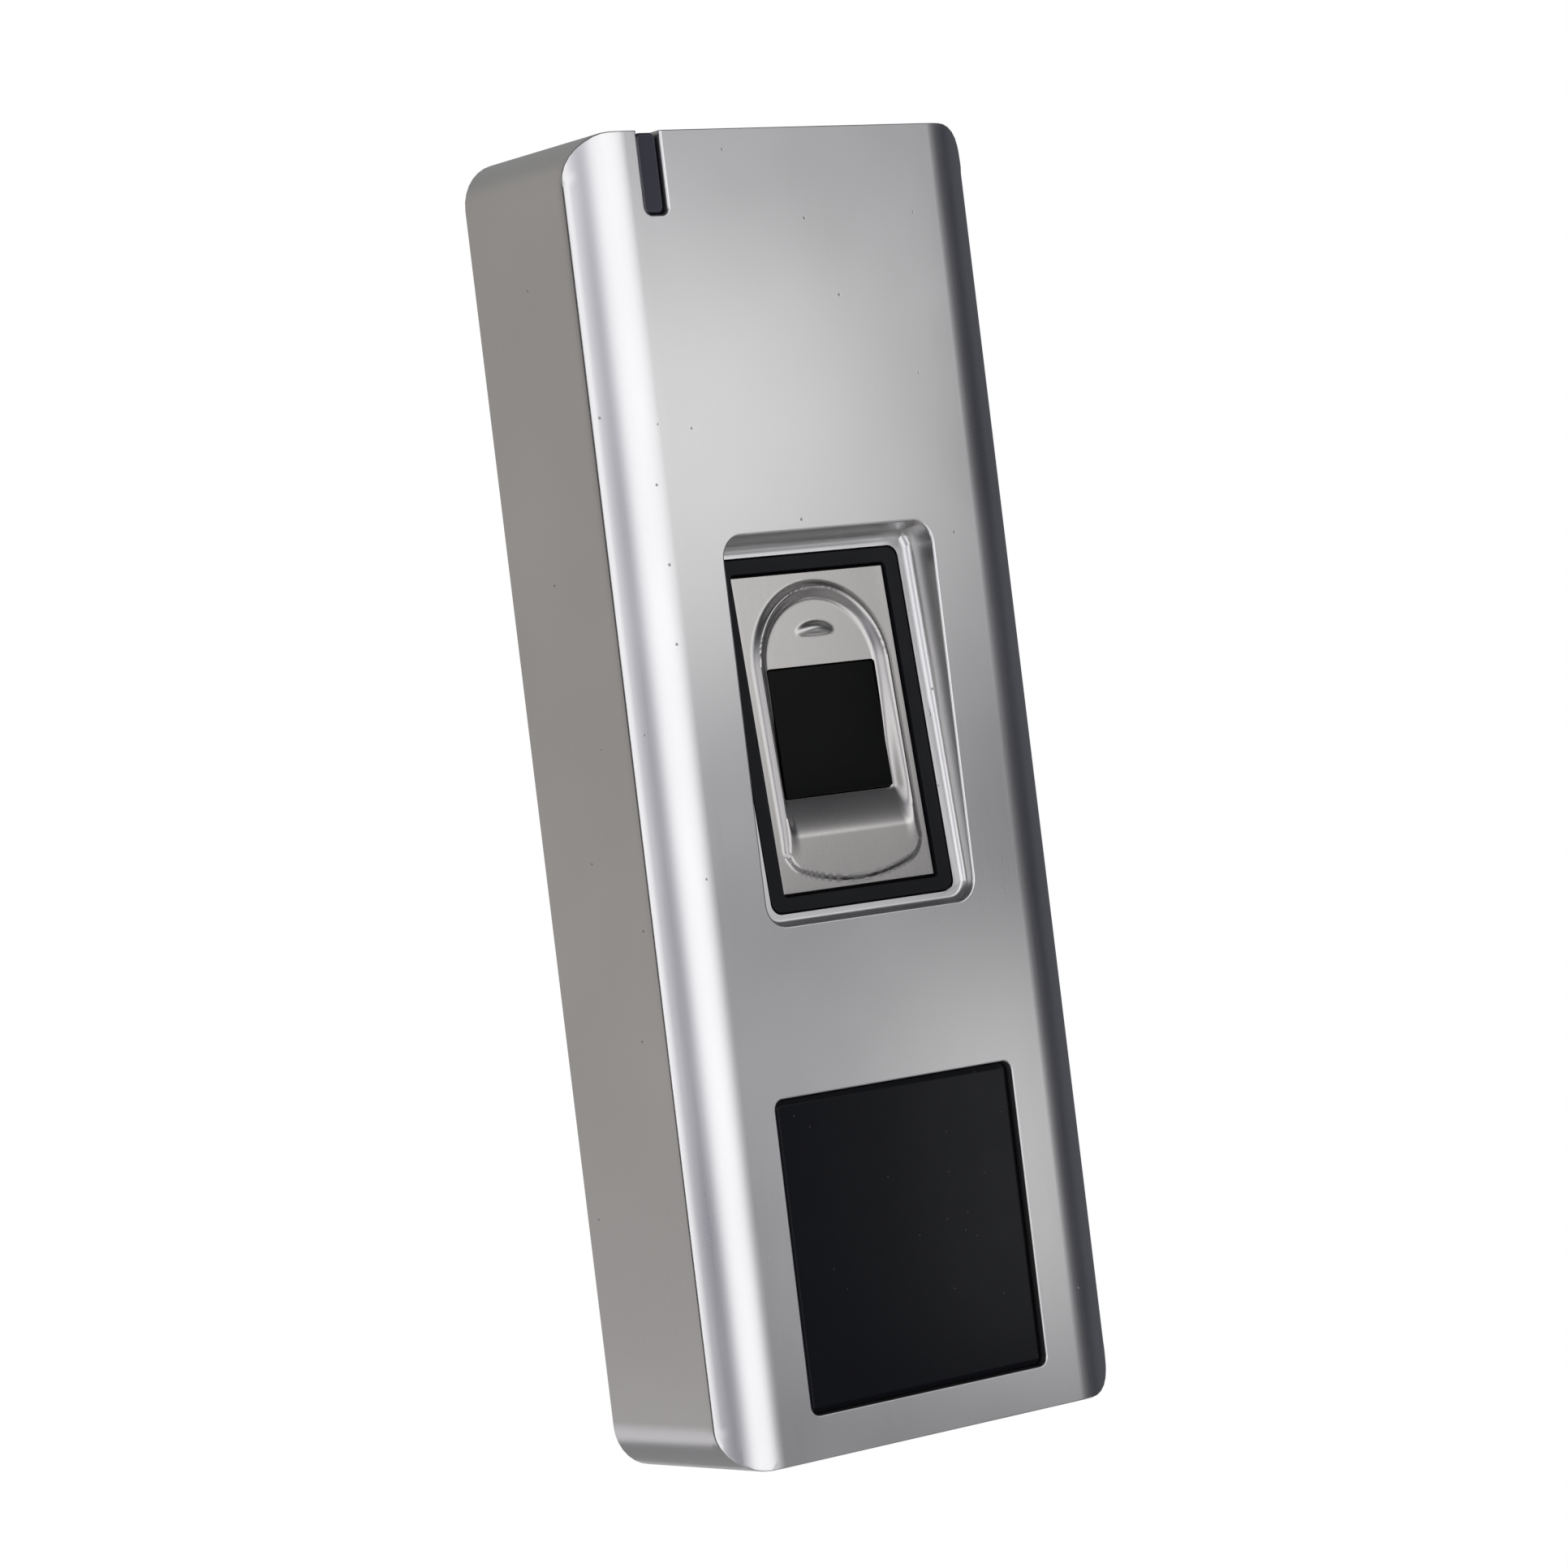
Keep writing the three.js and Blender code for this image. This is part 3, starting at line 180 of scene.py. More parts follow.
def leave_closed():
    """Turns every face outwards and leaves edit mode."""
    bpy.ops.mesh.select_all(action="SELECT")
    bpy.ops.mesh.normals_make_consistent(inside=False)
    leave()


def pick(obj, kind, test):
    """In edit mode, selects the VERTs, EDGEs or FACEs that test says yes to, and says how many."""
    bpy.ops.mesh.select_mode(type=kind)
    bpy.ops.mesh.select_all(action="DESELECT")
    mesh = bmesh.from_edit_mesh(obj.data)
    mesh.normal_update()
    found = [item for item in {"VERT": mesh.verts, "EDGE": mesh.edges, "FACE": mesh.faces}[kind] if test(item)]
    for item in found:
        item.select_set(True)
    bmesh.update_edit_mesh(obj.data)
    return len(found)


def ridge(edge, least=25):
    """True where two faces meet at more than least degrees."""
    return edge.is_manifold and edge.calc_face_angle(0) > math.radians(least)


def middle(edge):
    return (edge.verts[0].co + edge.verts[1].co) / 2


def along(edge, axis):
    """True where the edge runs along axis 0, 1 or 2."""
    run = edge.verts[1].co - edge.verts[0].co
    return abs(run[axis]) > 0.99 * run.length


def cut(obj, axis, at, test):
    """In edit mode, cuts the faces that test picks across axis 0, 1 or 2, at that place on it."""
    pick(obj, "FACE", test)
    across = [float(i == axis) for i in range(3)]
    bpy.ops.mesh.bisect(plane_co=[at * k for k in across], plane_no=across)


def round_edges(obj, test, width, segments=3):
    """Rounds the edges of obj that test picks."""
    edit(obj)
    if pick(obj, "EDGE", test):
        bpy.ops.mesh.bevel(offset=width, segments=segments, affect="EDGES", clamp_overlap=True,
                           miter_outer="ARC")
    leave()
    return obj


def round_by_width(obj, width_of, segments):
    """Rounds each edge of obj by the width that width_of gives it, 0 for none."""
    only(obj)
    mesh = bmesh.new()
    mesh.from_mesh(obj.data)
    mesh.normal_update()
    widths = [width_of(edge) for edge in mesh.edges]
    mesh.free()
    weights = obj.data.attributes.get("bevel_weight_edge") or \
        obj.data.attributes.new("bevel_weight_edge", "FLOAT", "EDGE")
    weights.data.foreach_set("value", [width / max(widths) for width in widths])
    modify(obj, "BEVEL", width=max(widths), segments=segments, limit_method="WEIGHT", miter_outer="MITER_ARC",
           use_clamp_overlap=False)
    return obj


def apply_place(obj):
    """Moves the object's own place into its mesh."""
    only(obj)
    bpy.ops.object.transform_apply(location=True, rotation=True, scale=True)
    return obj


def mm(*lengths):
    """Millimetres as metres."""
    return [k * MM for k in lengths]


def across(node):
    """Where the middle of a CAD node lies on X and on Z."""
    low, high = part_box(node)
    return (low.x + high.x) / 2, (low.z + high.z) / 2


def block(name, low, high):
    """A box between two corners."""
    low, high = Vector(low), Vector(high)
    deselect()
    bpy.ops.mesh.primitive_cube_add(size=1, location=(low + high) / 2, scale=high - low)
    bpy.context.object.name = name
    return apply_place(bpy.context.object)


def plate(name, low, high, corner, segments=8):
    """A box whose four edges along Y are rounded."""
    return round_edges(block(name, low, high), lambda e: along(e, 1), corner, segments)


def turned(name, profile, sides=32, hollow=False):
    """A turned solid about Z. Its profile is radius and height in millimetres, a closed loop for a hollow one."""
    deselect()
    profile = [mm(*point) for point in profile]
    radius, height = profile[0]
    bpy.ops.mesh.primitive_circle_add(vertices=sides, radius=radius, location=(0, 0, height),
                                      fill_type="NOTHING" if hollow else "NGON")
    obj = bpy.context.object
    obj.name = name
    apply_place(obj)
    edit(obj)
    for new_radius, new_height in profile[1:]:
        extrude = bpy.ops.mesh.extrude_edges_move if hollow else bpy.ops.mesh.extrude_region_move
        extrude(TRANSFORM_OT_translate={"value": (0, 0, new_height - height)})
        ratio = new_radius / radius
        bpy.ops.transform.resize(value=(ratio, ratio, 1), center_override=(0, 0, new_height))
        radius, height = new_radius, new_height
    bpy.ops.mesh.select_all(action="SELECT")
    bpy.ops.mesh.remove_doubles(threshold=TINY)
    leave_closed()
    return obj


def stand(obj, centre, turn=(0, 0, 0)):
    """Turns obj about the origin by degrees, then moves it to centre."""
    obj.rotation_euler = [math.radians(angle) for angle in turn]
    obj.location = centre
    return apply_place(obj)


def towards_wall(obj, centre, roll=0):
    """Lays a solid turned about Z along Y, its top towards the wall, rolled by degrees."""
    return stand(obj, centre, (-90, roll, 0))


def lean_back(obj):
    """Puts a piece drawn upright round the origin onto the leaning pocket floor."""
    return stand(obj, SENSOR, (-math.degrees(LEAN), 0, 0))


def on_sensor(point):
    """A point of the object in the upright frame of the leaning sensor."""
    return Matrix.Rotation(LEAN, 3, "X") @ (point - SENSOR)


def on_floor(part):
    """True where every corner of an edge or face lies on the pocket's leaning floor."""
    return all(abs(on_sensor(v.co).y) < 2 * TINY for v in part.verts)


def copied(node, name):
    """A clean copy of a CAD node, welded and with its flat faces whole."""
    obj = bpy.data.objects.new(name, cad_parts[node].data.copy())
    bpy.context.scene.collection.objects.link(obj)
    only(obj)
    if obj.data.has_custom_normals:
        bpy.ops.mesh.customdata_custom_splitnormals_clear()
    edit(obj)
    bpy.ops.mesh.remove_doubles(threshold=TINY)
    bpy.ops.mesh.dissolve_limited(angle_limit=math.radians(0.5))
    leave()
    return obj


def twin(obj, name):
    """A copy of obj with its own mesh."""
    new = obj.copy()
    new.data = obj.data.copy()
    new.name = name
    bpy.context.scene.collection.objects.link(new)
    return new


def gather(first, *rest):
    """Joins separate solids into one object."""
    only(first)
    for obj in rest:
        obj.select_set(True)
    bpy.ops.object.join()
    return first


def modify(obj, kind, **settings):
    modifier = obj.modifiers.new("shaping", kind)
    for key, value in settings.items():
        setattr(modifier, key, value)
    only(obj)
    bpy.ops.object.modifier_apply(modifier=modifier.name)
    return obj


def carve(obj, cutter, operation="DIFFERENCE"):
    """Cuts cutter out of obj, or joins it on, and removes cutter."""
    modify(obj, "BOOLEAN", operation=operation, object=cutter, solver="EXACT")
    bpy.data.objects.remove(cutter)
    return obj


def soften(obj, width, segments=2):
    """Rounds every edge sharper than 35 degrees."""
    return modify(obj, "BEVEL", width=width, segments=segments, limit_method="ANGLE",
                  angle_limit=math.radians(35), miter_outer="MITER_ARC")


def place(obj, body, slot, material, *nodes, angle=30):
    """Shades obj, gives it its finish, hangs it on its body and lets it stand for its CAD nodes."""
    only(obj)
    bpy.ops.object.shade_smooth_by_angle(angle=math.radians(angle))
    modify(obj, "WEIGHTED_NORMAL", keep_sharp=True, weight=50, mode="FACE_AREA")
    obj.data.materials.clear()
    obj.data.materials.append(material)
    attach(obj, body)
    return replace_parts(obj, *nodes)


# ---------- mixing materials ----------

class Wire:
    """A shader value that plain arithmetic works on."""

    def __init__(self, nodes, socket):
        self.nodes, self.socket = nodes, socket

    def math(self, operation, first, second):
        return self.nodes.add("Math", {"operation": operation}, {0: first, 1: second})

    def __add__(self, other):
        return self.math("ADD", self, other)

    def __sub__(self, other):
        return self.math("SUBTRACT", self, other)

    def __rsub__(self, other):
        return self.math("SUBTRACT", other, self)

    def __mul__(self, other):
        return self.math("MULTIPLY", self, other)

    def __lt__(self, other):
        return self.math("LESS_THAN", self, other)

    def __abs__(self):
        return self.math("ABSOLUTE", self, 0)

    __radd__ = __add__
    __rmul__ = __mul__


class Nodes:
    """A node tree that is written as expressions."""

    def __init__(self, owner):
        owner.use_nodes = True
        self.tree = owner.node_tree
        self.tree.nodes.clear()

    def add(self, kind, settings, inputs, output=0):
        """A node with its settings and its sockets' values or wires. Gives the wire of one output."""
        node = self.tree.nodes.new("ShaderNode" + kind)
        for key, value in settings.items():
            setattr(node, key, value)
        for key, value in inputs.items():
            if isinstance(value, Wire):
                self.tree.links.new(value.socket, node.inputs[key])
            else:
                node.inputs[key].default_value = value
        return Wire(self, node.outputs[output]) if node.outputs else node

    def mix(self, factor, low, high):
        """From colour low to colour high."""
        ends = {6 + i: end if isinstance(end, Wire) else (*end[:3], 1) for i, end in enumerate((low, high))}
        return self.add("Mix", {"data_type": "RGBA"}, {0: factor, **ends}, 2)

    def between(self, value, low, high):
        """Eases from 0 to 1 while value goes from low to high."""
        return self.add("MapRange", {"interpolation_type": "SMOOTHSTEP"},
                        {0: value, 1: low, 2: high, 3: 0.0, 4: 1.0})


class Paint(Nodes):
    """A material on Object coordinates, reckoned in millimetres."""

    def __init__(self, name):
        self.material = bpy.data.materials.new(name)
        super().__init__(self.material)

    def where(self, stretch=(1, 1, 1)):
        """Coordinates in millimetres, stretched along each axis."""
        place = self.add("TexCoord", {}, {}, "Object")
        return self.add("Mapping", {}, {"Vector": place, "Scale": [k / MM for k in stretch]})

    def axis(self, which, where):
        return self.add("SeparateXYZ", {}, {0: where}, which)

    def noise(self, scale, where=None, detail=2.0):
        return self.add("TexNoise", {},
                        {"Vector": where or self.where(), "Scale": scale, "Detail": detail, "Roughness": 0.5})

    def cells(self, scale, where=None, feature="F1", output=0):
        return self.add("TexVoronoi", {"feature": feature},
                        {"Vector": where or self.where(), "Scale": scale}, output)

    def bump(self, height, depth):
        """A normal for relief of that depth in millimetres."""
        return self.add("Bump", {}, {"Height": height, "Distance": depth * MM, "Strength": 1.0})

    def done(self, **sockets):
        """The finished material."""
        names = {"base": "Base Color", "rough": "Roughness", "metal": "Metallic", "normal": "Normal",
                 "coat": "Coat Weight", "specular": "Specular IOR Level"}
        inputs = {names[key]: value if isinstance(value, Wire) or not isinstance(value, (tuple, Vector)) else
                  (*value[:3], 1) for key, value in sockets.items()}
        shader = self.add("BsdfPrincipled", {}, inputs)
        self.add("OutputMaterial", {}, {"Surface": shader})
        return self.material


def satin_metal(name, tint, rough, grain, specks=True, lines=0.25, polished=False):
    """Satin metal: fine grain, faint lines along its length, slow changes of tone and a few pits."""
    paint = Paint(name)
    fine = paint.noise(7.0, detail=3)
    brushed = paint.noise(1.0, paint.where((5, 5, 0.12)), detail=3)
    slow = paint.noise(0.045, detail=2)
    tone = paint.mix(paint.between(slow, 0.3, 0.7), [0.94 * c for c in tint[:3]], tint)
    relief = fine + lines * brushed
    roughness = rough + 0.06 * (fine - 0.5) + 0.07 * (slow - 0.5) + 0.05 * (brushed - 0.5)
    if polished:
        where = paint.where()
        sunk = paint.between(paint.axis(1, where), FRONT / MM + 0.05, FRONT / MM + 0.4)
        in_pocket = sunk * (abs(paint.axis(0, where)) < 13.6) * (abs(paint.axis(2, where) - 6.0) < 19.8)
        roughness = roughness + 0.04 * in_pocket
    if specks:
        pit = 1.0 - paint.between(paint.cells(0.21), 0.018, 0.034)
        tone = paint.mix(0.55 * pit, tone, [0.25 * c for c in tint[:3]])
        relief = relief - 14.0 * pit
        roughness = roughness + 0.2 * pit
    return paint.done(base=tone, metal=1.0, rough=roughness, normal=paint.bump(relief, 0.001 * grain))


def stamped_metal(name, tint, rough=0.34):
    """Rolled or plated metal with its rolling lines and faint spangle."""
    paint = Paint(name)
    lines = paint.noise(1.0, paint.where((4, 4, 0.1)), detail=3)
    spangle = paint.cells(0.35, output="Color")
    tone = paint.mix(paint.between(paint.noise(0.12, detail=3), 0.35, 0.7), [0.9 * c for c in tint[:3]], tint)
    shade = paint.axis(0, spangle)
    return paint.done(base=tone, metal=1.0, rough=rough + 0.12 * (shade - 0.5) + 0.1 * (lines - 0.5),
                      normal=paint.bump(lines, 0.002))


def moulded(name, tint, rough=0.5, texture=0.003, scale=4.0, specular=0.5, dust=0.0):
    """Moulded plastic or rubber with the fine texture of its mould."""
    paint = Paint(name)
    grain = paint.noise(scale, detail=4)
    slow = paint.noise(0.15, detail=2)
    tone = paint.mix(paint.between(slow, 0.3, 0.75), tint, [1.18 * c + 0.001 for c in tint[:3]])
    if dust:
        speck = 1.0 - paint.between(paint.cells(0.5), 0.03, 0.05)
        tone = paint.mix(dust * speck, tone, (0.3, 0.3, 0.32))
    return paint.done(base=tone, rough=rough + 0.12 * (grain - 0.5), specular=specular,
                      normal=paint.bump(grain, texture))


def glossy(name, tint, rough, specular, dust):
    """Smooth dark plastic or glass with a trace of dust."""
    paint = Paint(name)
    wave = paint.noise(0.2, detail=2)
    speck = 1.0 - paint.between(paint.cells(0.42), 0.022, 0.036)
    tone = paint.mix(dust * speck, tint, (0.16, 0.16, 0.18))
    return paint.done(base=tone, rough=rough + 0.05 * (wave - 0.5) + 0.3 * speck, specular=specular,
                      normal=paint.bump(wave, 0.01))


def board_finish(name, mask):
    """Solder mask with copper runs under it and tinned vias."""
    paint = Paint(name)
    runs = paint.cells(0.32, paint.where((1, 0.02, 1)), "DISTANCE_TO_EDGE")
    copper = 1.0 - paint.between(runs, 0.05, 0.075)
    via = paint.cells(0.42, paint.where((1, 0.02, 1)))
    ring = paint.between(via, 0.05, 0.06) - paint.between(via, 0.11, 0.13)
    tone = paint.mix(copper, mask, [1.7 * c + 0.01 for c in mask[:3]])
    tone = paint.mix(ring, tone, srgb(196, 190, 170))
    weave = paint.noise(3.0, detail=2)
    return paint.done(base=tone, metal=ring, rough=0.32 + 0.1 * (weave - 0.5), coat=0.4,
                      normal=paint.bump(copper + 0.3 * weave, 0.02))


def finishes():
    """Every finish of the object by its slot, then those of pieces that share one."""
    scene = bpy.context.scene
    shell, sensor, windows = scene.scanner_shell, scene.scanner_sensor, scene.scanner_windows
    metal, boards = scene.scanner_metal, scene.scanner_boards
    return {
        "cast_metal": satin_metal("cast metal", shell.metal, 0.30, shell.grain, polished=True),
        "bezel_metal": satin_metal("bezel steel", sensor.bezel, 0.29, 0.5, specks=False, lines=0.1),
        "steel": stamped_metal("plated steel", metal.steel),
        "brass": stamped_metal("turned brass", srgb(198, 158, 86), 0.3),
        "copper": stamped_metal("copper foil", srgb(205, 128, 84), 0.3),
        "black_plastic": moulded("black moulding", sensor.plastic, 0.42, 0.002, specular=0.13),
        "black_gloss": glossy("card window plastic", windows.card, 0.22, 0.14, 0.5),
        "smoked_plastic": glossy("smoked plastic", windows.lens, 0.16, 0.45, 0.2),
        "clear_glass": glossy("prism glass", srgb(188, 204, 200), 0.05, 0.5, 0.0),
        "rubber": moulded("black rubber", srgb(24, 24, 26), 0.8, 0.006, 2.5, specular=0.3, dust=0.3),
        "tape": moulded("grey tape", srgb(48, 48, 50), 0.75, 0.004, 3.0),
        "board": board_finish("circuit board", boards.mask),
        "chip": moulded("epoxy", srgb(30, 30, 31), 0.55, 0.004, 6.0),
        "header": moulded("ivory nylon", srgb(226, 222, 208), 0.45, 0.002),
        "relay": moulded("blue case", srgb(44, 78, 140), 0.35, 0.002),
        "sleeve": moulded("printed sleeve", srgb(42, 54, 102), 0.3, 0.001),
        "led_red": moulded("red light", srgb(190, 40, 34), 0.2, 0.001),
        "led_green": moulded("green light", srgb(52, 160, 74), 0.2, 0.001),
        "window": glossy("optical window", sensor.glass, 0.12, 0.06, 0.0),
        "screw": stamped_metal("nickel plate", metal.screw, 0.26),
    }


FINISH = {}


def finish(slot):
    """One finish. All are mixed when the first is asked for."""
    if not FINISH:
        FINISH.update(finishes())
    return FINISH[slot]


def fit(obj, slot, *nodes, **shading):
    """Places a piece of the terminal that wears its slot's own finish."""
    return place(obj, "terminal", slot, finish(slot), *nodes, **shading)


# ---------- the cast shell ----------

POCKET_MARGIN = 7 * MM  # the pocket's lip lies within this of the sensor's bezel
LEDGE_INNER, LEDGE_OUTER = mm(12.3, 18.2), mm(14, 20)  # half the ledge's width and height, inside and outside
COVE_GROWTH = mm(-19, 12)  # the cove widens between these heights over the floor's middle
LIGHT_SLOT = mm(17.5, 56)  # the light slot's edges lie inside this X and over this Z
ROUNDED_FROM = 18.7 * MM  # the rounded long edges lie outside this X
OUTLINE_FROM = mm(19.9, 0.1)  # the outline lies outside this X, or this near to the top or bottom
BEFORE_CREASE = 0.1 * MM  # room behind the crease when its edges are picked
LEDGE_CUT, WALL_CUT = mm(9, 3.9)  # where the pocket's ledge and walls are cut
END_CUTS = mm(5.0, 4.2, 3.4, 1.0)  # cuts this near to the ends of the rounded edges
ROLL = {0.0: 1.0, 0.33: 0.45, 0.67: 0.12, 1.0: 0.0}  # depth of the side's roll along its run from the crease
STATION = 0.17 * TOP  # from one cut of the long edges to the next
LAST_STATION = 0.6 * TOP  # the cut nearest to an end lies beyond this


def within(point, width, low, high):
    """True nearer to the middle than width and between two heights."""
    return abs(point.x) < width and low < point.z < high


def at_front(edge):
    """True for a sharp edge of the front face."""
    return ridge(edge) and all(abs(v.co.y - FRONT) < TINY for v in edge.verts)


class SCANNER_OT_shell(bpy.types.Operator):
    """Cast front shell with its rounded lips, rim and pocket coves"""
    bl_idname = "scanner.shell"
    bl_label = "Front shell"

    def execute(self, context):
        look = context.scene.scanner_shell
        bezel_low, bezel_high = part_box("sensor_bezel")
        shell = copied("front_shell", "shell")
        crease = min(v.co.y for v in shell.data.vertices if abs(v.co.x) > SIDE - TINY)

        def near_pocket(p):
            return within(p, bezel_high.x + POCKET_MARGIN, bezel_low.z - POCKET_MARGIN,
                          bezel_high.z + POCKET_MARGIN)

        def near_card(p):
            return within(p, CARD_HIGH.x, CARD_LOW.z - MM, CARD_HIGH.z + MM)

        def cove(edge):
            p = on_sensor(middle(edge))
            inside = abs(p.x) < LEDGE_INNER[0] and abs(p.z) < LEDGE_INNER[1]
            if not ridge(edge) or not on_floor(edge) or inside or \
                    abs(p.x) > LEDGE_OUTER[0] or abs(p.z) > LEDGE_OUTER[1]:
                return 0
            return look.pocket_cove_foot + eased(p.z, *COVE_GROWTH) * (look.pocket_cove - look.pocket_cove_foot)

        def rim(edge):
            p = middle(edge)
            if at_front(edge) and within(p, *LIGHT_SLOT, TOP - OUTLINE_FROM[1]):
                return look.card_lip
            outline = abs(p.x) >= OUTLINE_FROM[0] or abs(p.z) >= TOP - OUTLINE_FROM[1]
            return look.rim if ridge(edge) and outline and p.y <= crease + BEFORE_CREASE else 0

        def rear(edge):
            return ridge(edge) and middle(edge).y > SHELL_HIGH.y - TINY

        def long_edge(face):
            return any(abs(v.co.x) > SIDE - TINY and v.co.y < crease + 2 * BEFORE_CREASE for v in face.verts)

        def pocket_wall(face):
            return near_pocket(face.calc_center_median()) and abs(face.normal.z) < 0.5 and \
                any(abs(on_sensor(v.co).y) < 2 * TINY for v in face.verts)

        def side_face(face):
            return abs(face.normal.x) > 0.9

        def rounded(face):
            return face.calc_center_median().y < crease + BEFORE_CREASE and abs(face.normal.y) > 0.5 and \
                min(abs(v.co.x) for v in face.verts) > ROUNDED_FROM

        def ledge_diagonal(edge):
            level = [abs(on_sensor(f.calc_center_median()).y) < 2 * TINY for f in edge.link_faces]
            return edge.is_manifold and on_floor(edge) and all(level) and not along(edge, 0) and not along(edge, 2)

        edit(shell)
        for station in range(-4, 5):
            cut(shell, 2, STATION * station, long_edge)
            cut(shell, 2, SENSOR.z + WALL_CUT * station, pocket_wall)
        for side in (-1, 1):
            cut(shell, 0, side * LEDGE_CUT, on_floor)
            cut(shell, 2, side * (TOP - END_CUTS[0]), side_face)
            for short in END_CUTS:
                cut(shell, 2, side * (TOP - short), rounded)
        pick(shell, "EDGE", ledge_diagonal)
        bpy.ops.mesh.dissolve_edges(use_verts=False)
        for share in ROLL:
            cut(shell, 1, crease + share * look.crease_run, side_face)
        for station in range(-4, 5):
            height = STATION * station
            depth = look.crease_foot + eased(height, -TOP, 0.7 * TOP) * (look.crease_top - look.crease_foot)
            for share, part in ROLL.items():
                pick(shell, "VERT", lambda v: abs(v.co.x) > SIDE - TINY and
                     abs(v.co.y - crease - share * look.crease_run) < TINY and
                     (abs(v.co.z - height) < 0.506 * STATION or
                      v.co.z > height > LAST_STATION or v.co.z < height < -LAST_STATION))
                bpy.ops.transform.resize(value=(1 - part * depth / SIDE, 1, 1), center_override=(0, 0, 0))
        leave()
        round_by_width(shell, cove, 8)
        round_edges(shell, lambda e: at_front(e) and near_pocket(middle(e)), look.pocket_lip, 5)
        round_edges(shell, lambda e: at_front(e) and near_card(middle(e)), look.card_lip, 4)
        round_by_width(shell, rim, 5)
        round_edges(shell, rear, look.rear, 2)
        fit(shell, "cast_metal", "front_shell")
        return {"FINISHED"}


# ---------- the sensor ----------

def eased(value, low, high):
    """Smooth step from 0 at low to 1 at high."""
    t = min(1, max(0, (value - low) / (high - low)))
    return t * t * (3 - 2 * t)


BEZEL_WIDTH, BEZEL_HEIGHT = 9.65, 15.9  # half of each, in millimetres
ARCH_HEIGHT, ARCH_RADIUS = 6.3, 8.65  # the rim's arch: its centre over the middle and its outer radius
NUB_WIDTH, NUB_HEIGHT = 2.4, 9.85  # the small mark: half its width, and where it sits
FACE, REAR = mm(0.35, 1.55)  # the bezel's face and rear behind the pocket's floor
EASE = 0.22  # rounding of the bezel's outer edge


def bezel_relief(x, z, look):
    """Height of the bezel's face at a place in millimetres: plate, arched rim, rest, ramp, pad and nub."""
    flank = ARCH_RADIUS - (math.hypot(x, z - ARCH_HEIGHT) if z > ARCH_HEIGHT else abs(x))
    foot = z + 15.25 - 2.05 * (x / 8.6) ** 2
    round_off = 1.7
    inside = min(flank, foot)
    if flank < round_off and foot < round_off:
        inside = round_off - math.hypot(round_off - flank, round_off - foot)
    rim, rest = look.rim_height / MM, -look.rest_sink / MM * (1 + 1.9 * eased(-z, -6, 6.5))
    pad = 0.78 * rim
    ramp = 1 - (1 - min(1, max(0, (-z - 6.5) / 3.9))) ** 1.35
    level = rest + (pad - rest) * ramp
    crest = rim - (rim - pad) * eased(-z, 9.0, 12.5)
    rise = eased(inside, 0, 0.4 + 0.4 * eased(foot, 0.5, 4))
    height = rise * (level + (crest - level) * (1 - eased(inside, 0.65, 1.95)))
    across_nub = 1 - (x / NUB_WIDTH) ** 2
    bow = (z - NUB_HEIGHT - 0.3 * across_nub) / 0.72
    nub = max(0, across_nub - bow * bow) ** 1.3
    edge = min(BEZEL_WIDTH - abs(x), BEZEL_HEIGHT - abs(z))
    fall = EASE - math.sqrt(max(0, EASE ** 2 - max(0, EASE - edge) ** 2))
    return height + look.nub / MM * nub - fall


class SCANNER_OT_bezel(bpy.types.Operator):
    """Pressed steel bezel with its arched rim, fingertip rest and ramp"""
    bl_idname = "scanner.bezel"
    bl_label = "Sensor bezel"

    def execute(self, context):
        look = context.scene.scanner_sensor
        deselect()
        bpy.ops.mesh.primitive_grid_add(x_subdivisions=104, y_subdivisions=168, size=2,
                                        rotation=(math.pi / 2, 0, 0))
        bezel = context.object
        bezel.name = "bezel"
        bezel.scale = (BEZEL_WIDTH * MM, BEZEL_HEIGHT * MM, 1)
        apply_place(bezel)
        for vertex in bezel.data.vertices:
            vertex.co.y = FACE - MM * bezel_relief(vertex.co.x / MM, vertex.co.z / MM, look)
        edit(bezel)
        bpy.ops.mesh.extrude_region_move(TRANSFORM_OT_translate={"value": (0, REAR, 0)})
        bpy.ops.transform.resize(value=(1, 0, 1), center_override=(0, REAR, 0))
        leave_closed()
        carve(bezel, plate("opening", mm(-6.8, -2, -6.5), mm(6.8, 3, 6.5), 0.4 * MM, 5))
        outline = plate("outline", mm(-BEZEL_WIDTH, -2, -BEZEL_HEIGHT), mm(BEZEL_WIDTH, 3, BEZEL_HEIGHT),
                        0.5 * MM, 5)
        carve(bezel, outline, "INTERSECT")
        fit(lean_back(bezel), "bezel_metal", "sensor_bezel", angle=40)
        return {"FINISHED"}


class SCANNER_OT_sensor_front(bpy.types.Operator):
    """Moulded frame round the bezel and the optical window in it"""
    bl_idname = "scanner.sensor_front"
    bl_label = "Sensor frame and window"

    def execute(self, context):
        moulding = copied("sensor_frame", "frame_moulding")
        round_edges(moulding, lambda e: ridge(e, 50) and on_floor(e), 0.22 * MM, 3)
        fit(moulding, "black_plastic", "sensor_frame")
        window = plate("optical_window", mm(-6.65, 0.75, -6.375), mm(6.65, 1.55, 6.375), 0.35 * MM, 5)
        round_edges(window, lambda e: ridge(e, 50) and max(v.co.y for v in e.verts) < 0.76 * MM, 0.1 * MM, 3)
        place(lean_back(window), "terminal", "black_gloss", finish("window"), "sensor_window")
        return {"FINISHED"}


# ---------- card window and status light ----------

